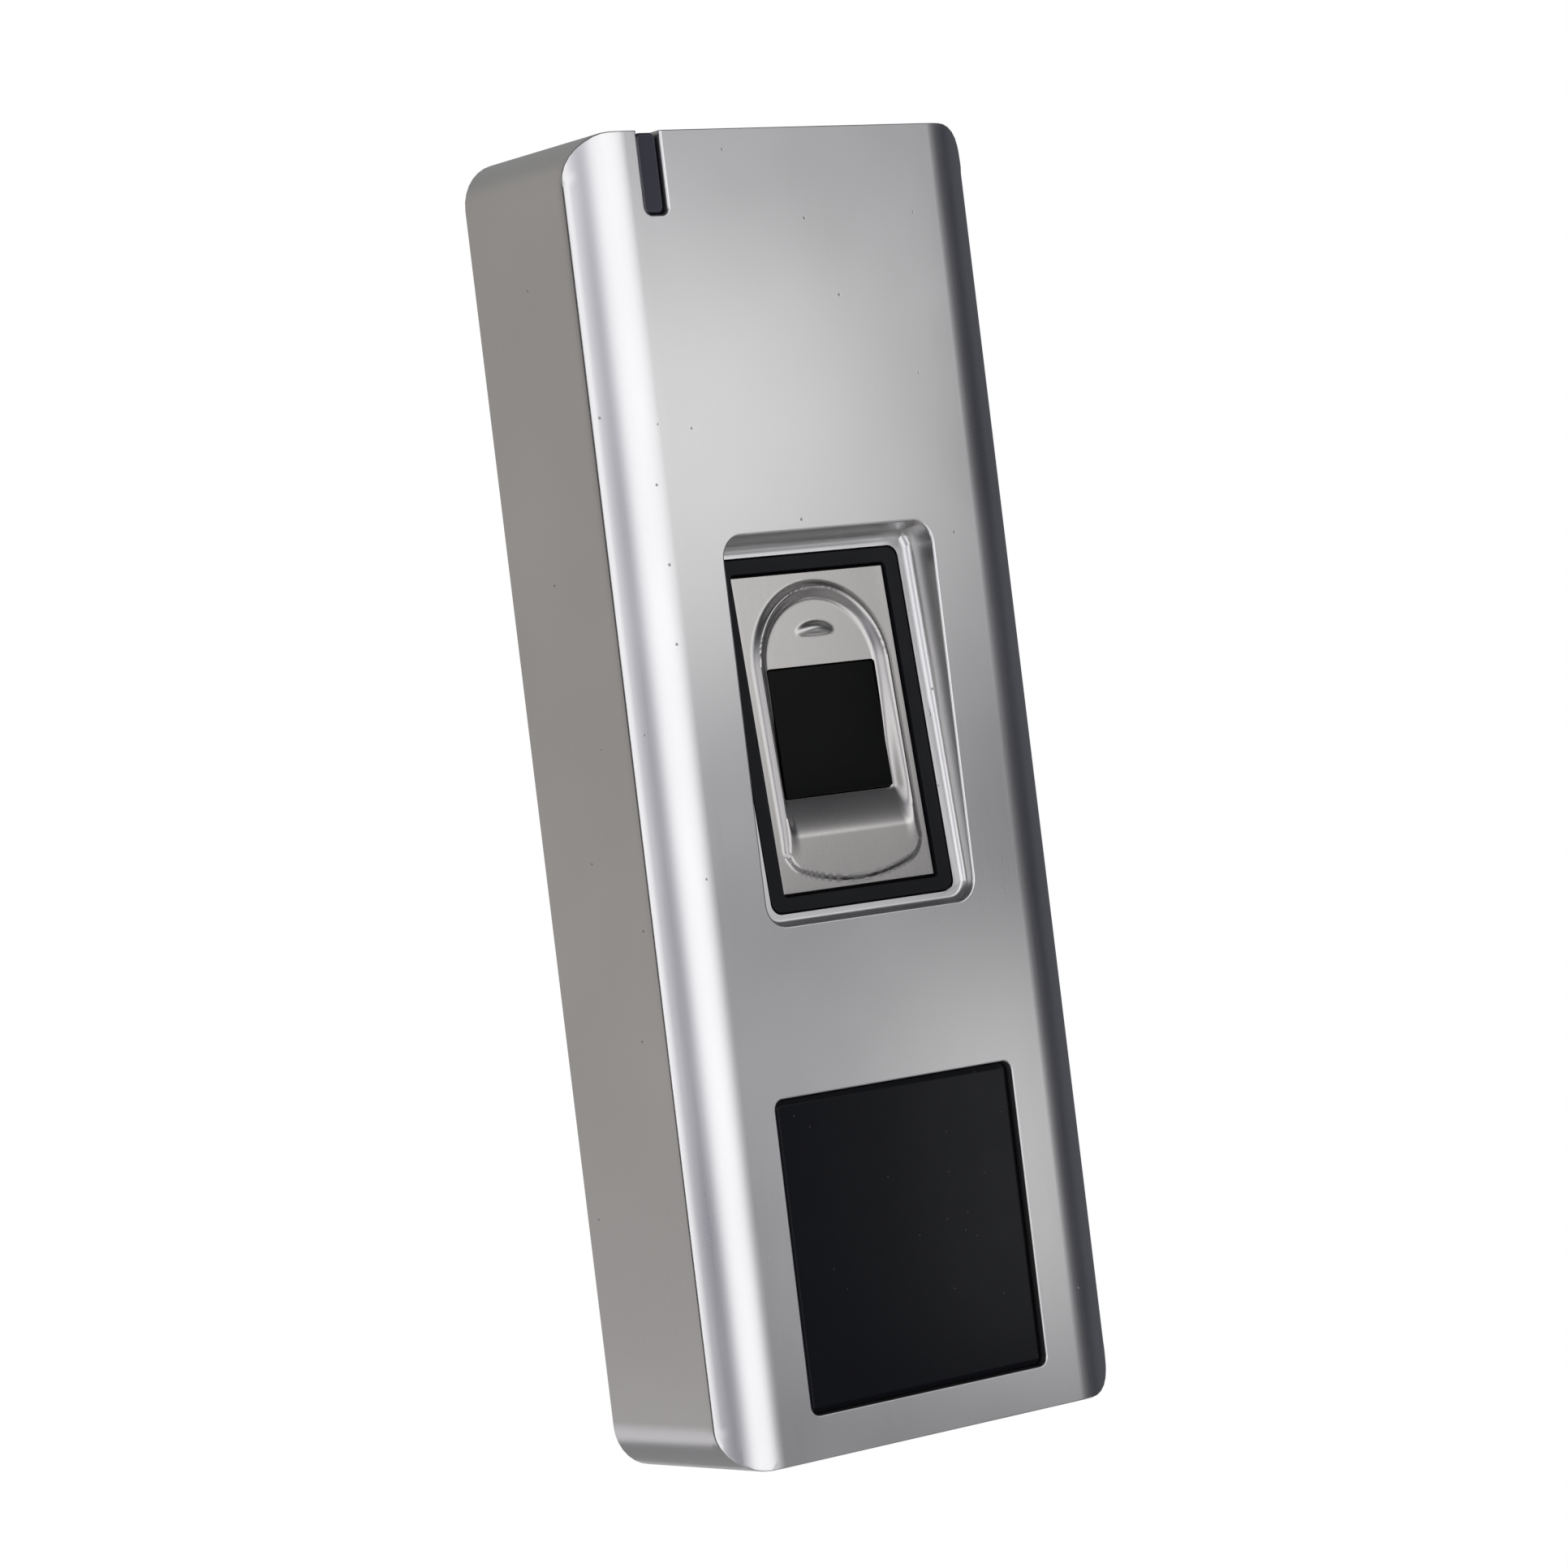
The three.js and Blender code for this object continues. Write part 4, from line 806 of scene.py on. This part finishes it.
class SCANNER_OT_windows(bpy.types.Operator):
    """Card window with its sloping edge, and the status light's smoked lens"""
    bl_idname = "scanner.windows"
    bl_label = "Card window and lens"

    def execute(self, context):
        look = context.scene.scanner_windows
        rear = CARD_HIGH.y
        flange = plate("card_flange", (CARD_LOW.x, rear - MM, CARD_LOW.z), CARD_HIGH, MM)
        bottom, top = CARD_LOW.z + 0.8 * MM, CARD_HIGH.z - 0.8 * MM
        gap, slope = mm(0.15, 0.35)
        window = plate("card_window_face", (-15 * MM + gap, CARD_LOW.y + slope, bottom + gap),
                       (15 * MM - gap, rear - 0.5 * MM, top - gap), 0.85 * MM)
        edit(window)
        pick(window, "FACE", lambda f: f.normal.y < -0.9)
        bpy.ops.mesh.inset(thickness=look.chamfer, depth=0)
        bpy.ops.transform.translate(value=(0, -slope, 0))
        leave()
        round_edges(window, lambda e: ridge(e, 12) and max(v.co.y for v in e.verts) < CARD_LOW.y + 0.36 * MM,
                    0.06 * MM, 2)
        fit(gather(window, flange), "black_gloss", "card_window", angle=20)

        lens_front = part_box("led_lens")[0].y
        lens = copied("led_lens", "light_lens")
        round_edges(lens, lambda e: ridge(e, 40) and max(v.co.y for v in e.verts) < lens_front + TINY,
                    0.28 * MM, 5)
        fit(lens, "smoked_plastic", "led_lens")
        return {"FINISHED"}


# ---------- bracket, cover and gasket ----------

class SCANNER_OT_rear(bpy.types.Operator):
    """Wall bracket, back cover, gasket and cable grommet"""
    bl_idname = "scanner.rear"
    bl_label = "Bracket and back cover"

    def execute(self, context):
        look = context.scene.scanner_metal
        for name, body, slot, node, width, segments in (
                ("bracket", "wall_bracket", "steel", "wall_bracket", look.bend, 3),
                ("cover", "terminal", "steel", "back_cover", look.bend, 2),
                ("gasket", "terminal", "rubber", "back_gasket", 0.15 * MM, 2)):
            place(soften(copied(node, name), width, segments), body, slot, finish(slot), node)
        x, z = across("cable_grommet")
        profile = [(3.4, -8.0), (3.95, -8.0), (4.2, -7.6), (4.2, -5.4), (5.5, -5.2), (5.8, -5.0), (5.8, -4.2),
                   (5.6, -4.0), (4.6, -4.0), (4.6, -2.0), (4.4, -1.8), (3.7, -1.8), (3.4, -2.2), (3.55, -3.6),
                   (3.4, -5.0), (3.55, -6.4), (3.4, -8.0)]
        grommet = towards_wall(turned("grommet", profile, 40, hollow=True), (x, 0, z))
        fit(grommet, "rubber", "cable_grommet")
        return {"FINISHED"}


# ---------- screws, lock and tamper plunger ----------

RECESS = 0.4  # where the recess ends, as a share of the head's height
SENSOR_SCREW_SEAT = 3.65 * MM  # behind the pocket's floor
TURN_EACH = 23  # each screw stops at another angle


def screw_model(name, head_height, shank):
    """Pan-head screw with a cross recess and a thread, its seat at 0 and its shank below, in millimetres."""
    head, core, crest, pitch = 1.9, 0.74, 1, 0.45
    height = -shank + 0.4
    profile = [(0.3, -shank), (core, height)]
    while height < -1.1 * pitch:
        profile += [(crest, height + pitch / 2), (core, height + pitch)]
        height += pitch
    profile += [(core, 0), (head - 0.1, 0), (head, 0.1), (head, 0.45 * head_height),
                (0.93 * head, 0.72 * head_height), (0.75 * head, 0.92 * head_height), (0.4 * head, head_height)]
    model = turned(name, profile, 24)
    for turn in (0, 90):
        slot = block("recess", mm(-0.95, -0.2, RECESS * head_height), mm(0.95, 0.2, 2 * head_height))
        edit(slot)
        pick(slot, "FACE", lambda f: f.normal.z < -0.9)
        bpy.ops.transform.resize(value=(0.5, 0.6, 1), center_override=(0, 0, 0))
        leave()
        carve(model, stand(slot, (0, 0, 0), (0, 0, turn)))
    return model


class SCANNER_OT_screws(bpy.types.Operator):
    """Every pan-head screw, with its recess and thread"""
    bl_idname = "scanner.screws"
    bl_label = "Screws"

    def execute(self, context):
        kinds = {"cover_screw": (1.3, 5), "board_screw": (0.8, 5), "sensor_screw": (1.3, 3.2),
                 "led_board_screw": (1.3, 4)}
        for kind, (head_height, shank) in kinds.items():
            model = screw_model(kind + "_model", head_height, shank)
            nodes = sorted(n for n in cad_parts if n.startswith(kind))
            for i, node in enumerate(nodes):
                low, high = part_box(node)
                seat, turn = Vector(((low.x + high.x) / 2, high.y - head_height * MM, (low.z + high.z) / 2)), 0
                if kind == "sensor_screw":
                    spot = on_sensor((low + high) / 2)
                    spot.y = SENSOR_SCREW_SEAT
                    seat, turn = SENSOR + Matrix.Rotation(-LEAN, 3, "X") @ spot, -math.degrees(LEAN)
                piece = towards_wall(twin(model, node.replace("screw", "pan_screw")), (0, 0, 0), TURN_EACH * i)
                stand(piece, seat, (turn, 0, 0))
                place(piece, "terminal", "steel", finish("screw"), node)
            bpy.data.objects.remove(model)
        return {"FINISHED"}


class SCANNER_OT_lock(bpy.types.Operator):
    """Lock screw, and the tamper switch's plunger and spring"""
    bl_idname = "scanner.lock"
    bl_label = "Lock and tamper switch"

    def execute(self, context):
        low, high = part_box("lock_screw")
        centre_y = (low.y + high.y) / 2
        length, height, pitch = (high.z - low.z) / MM, 2.1, 0.5
        profile = [(2.35, 0), (2.6, 0.25), (2.6, 1.4), (2.45, 1.6), (1.3, 1.6), (1.3, height)]
        while height < length - 1.2:
            profile += [(1.5, height + pitch / 2), (1.2, height + pitch)]
            height += pitch
        profile += [(0.9, length)]
        screw = turned("captive_screw", profile, 36)
        deselect()
        bpy.ops.mesh.primitive_cylinder_add(vertices=6, radius=1.1 * MM, depth=2 * MM, location=(0, 0, 0))
        carve(screw, apply_place(context.object))
        place(stand(screw, (0, centre_y, low.z)), "lock_screw", "steel", finish("screw"), "lock_screw")

        x, z = across("tamper_plunger")
        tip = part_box("tamper_plunger")[1].y / MM
        profile = [(2.0, -7.9), (2.2, -7.7), (2.2, -7.05), (2.05, -6.9), (1.4, -6.9), (1.4, tip - 0.6),
                   (1.25, tip - 0.25), (0.9, tip - 0.06), (0.4, tip)]
        plunger = towards_wall(turned("feeler", profile), (x, 0, z))
        place(plunger, "tamper_plunger", "header", finish("header"), "tamper_plunger")

        low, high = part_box("tamper_spring")
        wire, turns = 0.25 * MM, 5
        deselect()
        bpy.ops.mesh.primitive_circle_add(vertices=8, radius=wire, location=(1.85 * MM, 0, 0),
                                          rotation=(math.pi / 2, 0, 0))
        spring = context.object
        spring.name = "spring"
        apply_place(spring)
        pitch = (high.y - low.y - 2 * wire) / turns
        modify(spring, "SCREW", screw_offset=pitch, iterations=turns, steps=18, render_steps=18, axis="Z")
        edit(spring)
        bpy.ops.mesh.remove_doubles(threshold=TINY)
        pick(spring, "EDGE", lambda e: e.is_boundary)
        bpy.ops.mesh.edge_face_add()
        leave_closed()
        towards_wall(spring, (x, low.y + wire, z))
        place(spring, "terminal", "steel", finish("screw"), "tamper_spring", angle=60)
        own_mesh(spring)
        return {"FINISHED"}


# ---------- inside the shell ----------

NODE_SLOTS = {
    "led_board": "board", "status_led_red": "led_red", "status_led_green": "led_green", "sensor_seal": "rubber",
    "sensor_prism": "clear_glass", "sensor_lens": "black_plastic", "sensor_camera": "chip",
    "sensor_light_board": "board", "sensor_housing": "black_plastic", "sensor_board": "board",
    "sensor_header": "header", "sensor_cable": "tape", "card_window_tape": "tape", "antenna_board": "board",
    "antenna_lead": "chip", "main_board": "board", "power_inductor": "chip", "relay": "relay",
    "power_header": "header", "signal_header": "header", "led_lead": "chip", "tamper_switch": "black_plastic",
    "lock_insert": "brass",
}
EDGES = {"board": 0.06, "tape": 0.04, "relay": 0.6, "led_red": 0.3, "led_green": 0.3, "black_plastic": 0.15,
         "clear_glass": 0.12, "header": 0.15}


def leg_row(name, reach, drop, count, pitch):
    """A row of bent legs along Z, each reaching along X and stepping down along Y."""
    row = block(name, (0, -0.12 * MM, -0.13 * MM), (reach, 0, 0.13 * MM))
    edit(row)
    for share in (0.35, 0.55):
        cut(row, 0, share * reach, lambda f: True)
    pick(row, "VERT", lambda v: v.co.x > 0.5 * reach)
    bpy.ops.transform.translate(value=(0, drop, 0))
    leave()
    modify(row, "ARRAY", count=count, use_relative_offset=False, use_constant_offset=True,
           constant_offset_displace=(0, 0, pitch))
    return stand(row, (0, 0, -pitch * (count - 1) / 2))


def chip(node, sides, pitch):
    """A package with a corner dimple and bent legs on its sides."""
    low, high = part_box(node)
    centre, inset = (low + high) / 2, 0.9 * MM
    body = soften(block(node + "_package", low + Vector((inset, 0, inset)),
                        high - Vector((inset, 0.1 * MM, inset))), 0.12 * MM)
    dimple = stand(turned("dimple", [(0.45, 0), (0.45, 0.3)], 20),
                   (low.x + inset + MM, low.y + 0.08 * MM, high.z - inset - MM), (90, 0, 0))
    carve(body, dimple)
    fit(body, "chip", node)
    half = (high.x - low.x) / 2
    count = int((2 * half - 2 * inset - 0.3 * MM) / pitch)
    rows = []
    for quarter in sides:
        row = leg_row(node + "_legs", inset, high.y - centre.y, count, pitch)
        stand(row, (half - inset, 0, 0))
        rows.append(stand(row, centre, (0, 90 * quarter, 0)))
    fit(gather(*rows), "steel", node)


def upright(name, node, profile, slot, sides=36):
    """A round part standing on the main board: profile runs from the board up, in millimetres."""
    x, z = across(node)
    part = stand(turned(name, profile, sides), (x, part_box(node)[1].y, z), (90, 0, 0))
    return fit(part, slot, node)


class SCANNER_OT_components(bpy.types.Operator):
    """Chips with their legs, the round parts beside them, header pins and the reader's coil"""
    bl_idname = "scanner.components"
    bl_label = "Board components"

    def execute(self, context):
        look = context.scene.scanner_boards
        chip("processor", (0, 1, 2, 3), look.pitch)
        chip("card_reader_chip", (0, 1, 2, 3), look.pitch)
        chip("memory_chip", (0, 2), 2 * look.pitch)
        upright("capacitor_sleeve", "power_capacitor",
                [(2.9, 0), (3.2, 0.15), (3.2, 0.9), (3.0, 1.15), (3.2, 1.4), (3.2, 5.7), (3.05, 5.9),
                 (2.7, 5.95)], "sleeve")
        x, z = across("power_capacitor")
        vent = turned("capacitor_top", [(2.6, 0), (2.6, 0.5), (2.5, 0.6)], 36)
        for turn in (0, 90):
            groove = block("groove", mm(-1.9, -0.09, 0.5), mm(1.9, 0.09, 1))
            carve(vent, stand(groove, (0, 0, 0), (0, 0, turn)))
        stand(vent, (x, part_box("power_capacitor")[0].y + 0.6 * MM, z), (90, 0, 0))
        fit(vent, "steel", "power_capacitor")
        upright("coin_cell", "backup_cell",
                [(3.9, 0), (4.2, 0.12), (4.5, 0.35), (4.62, 0.8), (4.62, 1.0), (4.8, 1.1), (4.8, 2.85), (4.7, 3.1),
                 (4.45, 3.2), (4.1, 3.2), (4.0, 3.12)], "steel", 48)
        upright("sounder", "buzzer",
                [(3.9, 0), (4.2, 0.2), (4.2, 4.55), (4.1, 4.85), (3.85, 5.0), (1.1, 5.0), (0.9, 4.85), (0.9, 3.6)],
                "chip", 40)
        for node in ("power_header", "signal_header"):
            low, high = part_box(node)
            x, z = across(node)
            half = 0.32 * MM
            places = [x + (i - 1.5) * 2.5 * MM for i in range(4)]
            pins = [soften(block(node + "_pins", (pin - half, low.y + 0.8 * MM, z - half),
                                 (pin + half, high.y - 1.3 * MM, z + half)), 0.12 * MM) for pin in places]
            fit(gather(*pins), "brass", node)
            shroud = soften(copied(node, node + "_shroud"), 0.2 * MM)
            fit(shroud, "header", node)
        low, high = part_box("antenna_coil")
        loops = []
        step = 3 * MM / look.turns
        wire = 0.62 * step
        for turn in range(look.turns):
            inset = Vector((turn * step, 0, turn * step))
            hole = inset + Vector((wire, -MM, wire))
            outer = plate("coil", low + inset, high - inset, 2 * MM - 0.5 * inset.x)
            loops.append(carve(outer, plate("hole", low + hole, high - hole, 2 * MM - 0.5 * hole.x)))
        fit(gather(*loops), "copper", "antenna_coil")
        return {"FINISHED"}


class SCANNER_OT_inside(bpy.types.Operator):
    """Boards, sensor optics, leads and cases inside the shell, with their edges eased"""
    bl_idname = "scanner.inside"
    bl_label = "Inside parts"

    def execute(self, context):
        for node, slot in NODE_SLOTS.items():
            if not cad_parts[node].hide_render:
                piece = soften(copied(node, node + "_model"), EDGES.get(slot, 0.1) * MM)
                fit(piece, slot, node)
        return {"FINISHED"}


# ---------- camera, light and floor ----------

def heading(azimuth, elevation=0.0):
    """Unit vector towards azimuth degrees left of the front and elevation degrees up."""
    a, e = math.radians(azimuth), math.radians(elevation)
    return Vector((-math.sin(a) * math.cos(e), -math.cos(a) * math.cos(e), math.sin(e)))


class SCANNER_OT_stage(bpy.types.Operator):
    """Camera, soft studio light and floor"""
    bl_idname = "scanner.stage"
    bl_label = "Stage"

    def execute(self, context):
        look = context.scene.scanner_stage
        scene = context.scene
        aim = Vector((-1.0, -9.2, 0.5)) * MM
        back = Vector((math.sin(look.azimuth) * math.cos(look.elevation),
                       -math.cos(look.azimuth) * math.cos(look.elevation), math.sin(look.elevation)))
        level = Vector((0, 0, 1)).cross(back).normalized()
        rise = back.cross(level)
        right = math.cos(look.roll) * level - math.sin(look.roll) * rise
        up = math.cos(look.roll) * rise + math.sin(look.roll) * level
        camera_data = bpy.data.cameras.new("camera")
        camera_data.lens, camera_data.sensor_width = look.lens, 36
        camera_data.clip_start = 0.01
        camera = bpy.data.objects.new("camera", camera_data)
        scene.collection.objects.link(camera)
        camera.matrix_world = Matrix.Translation(aim + look.distance * back) @ \
            Matrix((right, up, back)).transposed().to_4x4()
        scene.camera = camera
        scene.view_settings.view_transform = "Standard"

        world = bpy.data.worlds.new("studio")
        scene.world = world
        sky = Nodes(world)
        way = sky.add("TexCoord", {}, {}, "Generated")

        def facing(direction):
            return sky.add("VectorMath", {"operation": "DOT_PRODUCT"}, {0: way, 1: direction}, "Value")

        def lobe(below, azimuth, elevation, inner, outer, colour):
            """A soft round patch of colour over what lies below it."""
            mask = sky.between(facing(heading(azimuth, elevation)), math.cos(math.radians(outer)),
                               math.cos(math.radians(inner)))
            return sky.mix(mask, below, colour)

        def strip(below, azimuth, inner, outer, colour):
            """A tall soft strip from floor to ceiling."""
            across = abs(facing(heading(azimuth + 90)))
            mask = 1.0 - sky.between(across, math.sin(math.radians(inner)), math.sin(math.radians(outer)))
            ahead = sky.between(facing(heading(azimuth)), 0.0, 0.2)
            return sky.mix(mask * ahead, below, colour)

        up_way = facing((0, 0, 1))
        ahead = sky.between(facing((0, -1, 0)), -0.6, -0.2)
        light = sky.mix(sky.between(up_way, -0.12, -0.5), (0.33, 0.33, 0.33), (0.95, 0.95, 0.98))
        light = strip(light, -38, 9, 17, (0.18, 0.18, 0.185))
        light = strip(light, 23, 50, 57, (1.6, 1.6, 1.65))
        light = strip(light, 33, 4, 15, (0.70, 0.71, 0.82))
        light = lobe(light, 34, -13, 8, 22, (0.15, 0.15, 0.2))
        light = sky.mix(sky.between(up_way, 0.22, 0.62) * ahead, light, (0.06, 0.06, 0.07))
        for azimuth, elevation, inner, outer, colour in (
                (-34, -24, 6, 19, (0.13, 0.13, 0.15)), (-29, -10, 4, 11, (0.08, 0.08, 0.11)),
                (-93, 0, 41, 52, (0.09, 0.095, 0.11)), (-63, 0, 12, 22, (0.03, 0.032, 0.045)),
                (103, 0, 26, 33, (0.0, 0.0, 0.0)), (150, 0, 20, 40, (0.42, 0.405, 0.39)),
                (146, -24, 11, 18, (0.9, 0.89, 0.94)), (-37, 17, 5, 9, (1.0, 1.0, 1.05))):
            light = lobe(light, azimuth, elevation, inner, outer, colour)
        seen = sky.add("LightPath", {}, {}, "Is Camera Ray")
        colour = sky.mix(seen, light, (1, 1, 1))
        background = sky.add("Background", {}, {"Color": colour, "Strength": 1.0})
        sky.add("OutputWorld", {}, {"Surface": background})

        def lamp(name):
            """An area light that the camera doesn't see."""
            light = bpy.data.objects.new(name, bpy.data.lights.new(name, "AREA"))
            scene.collection.objects.link(light)
            light.visible_camera = False
            return light

        def softbox(name, azimuth, width, height, radiance, aim_x, aim_z):
            """A light 150 mm before a place on the front face."""
            box, direction = lamp(name), heading(azimuth)
            box.data.shape, box.data.size, box.data.size_y = "RECTANGLE", width, height
            box.data.energy = radiance * math.pi * width * height
            box.location = Vector((aim_x, FRONT, aim_z)) + 0.15 * direction
            box.rotation_euler = direction.to_track_quat("Z", "Y").to_euler()

        softbox("upper glow", -31, 0.05, 0.05, 0.95, 0.004, 0.042)
        softbox("lower glow", -37, 0.016, 0.05, 1.9, 0.021, -0.053)
        wash = lamp("floor wash")
        wash.data.size, wash.data.energy = 0.3, 0.25
        wash.location.z = -0.1

        deselect()
        bpy.ops.mesh.primitive_circle_add(vertices=96, radius=0.42, fill_type="NGON", location=(0, 0, -0.27))
        floor = context.object
        floor.name = "floor"
        floor.visible_camera = False
        paint = Paint("pale floor")
        tone = paint.mix(paint.noise(0.02, detail=3), (0.86, 0.86, 0.86), (0.92, 0.92, 0.92))
        floor.data.materials.append(paint.done(base=tone, rough=0.6))
        return {"FINISHED"}


OPERATORS = [SCANNER_OT_shell, SCANNER_OT_bezel, SCANNER_OT_sensor_front, SCANNER_OT_windows, SCANNER_OT_rear,
             SCANNER_OT_screws, SCANNER_OT_lock, SCANNER_OT_components, SCANNER_OT_inside, SCANNER_OT_stage]


class SCANNER_PT_panel(bpy.types.Panel):
    """Lists the pieces and their sizes"""
    bl_label = "Fingerprint scanner"
    bl_idname = "SCANNER_PT_panel"
    bl_space_type = "VIEW_3D"
    bl_region_type = "UI"
    bl_category = "Scanner"

    def draw(self, context):
        layout = self.layout
        for operator in OPERATORS:
            layout.operator(operator.bl_idname)
        for name, group in LOOKS.items():
            box = layout.box()
            box.label(text=group.__doc__)
            for field in group.__annotations__:
                box.prop(getattr(context.scene, name), field)


def register():
    for cls in [*LOOKS.values(), *OPERATORS, SCANNER_PT_panel]:
        bpy.utils.register_class(cls)
    for name, group in LOOKS.items():
        setattr(bpy.types.Scene, name, PointerProperty(type=group))


def unregister():
    for name in LOOKS:
        delattr(bpy.types.Scene, name)
    for cls in reversed([*LOOKS.values(), *OPERATORS, SCANNER_PT_panel]):
        bpy.utils.unregister_class(cls)


def main():
    register()
    for operator in OPERATORS:
        group, name = operator.bl_idname.split(".")
        getattr(getattr(bpy.ops, group), name)()


if __name__ == "__main__":
    main()
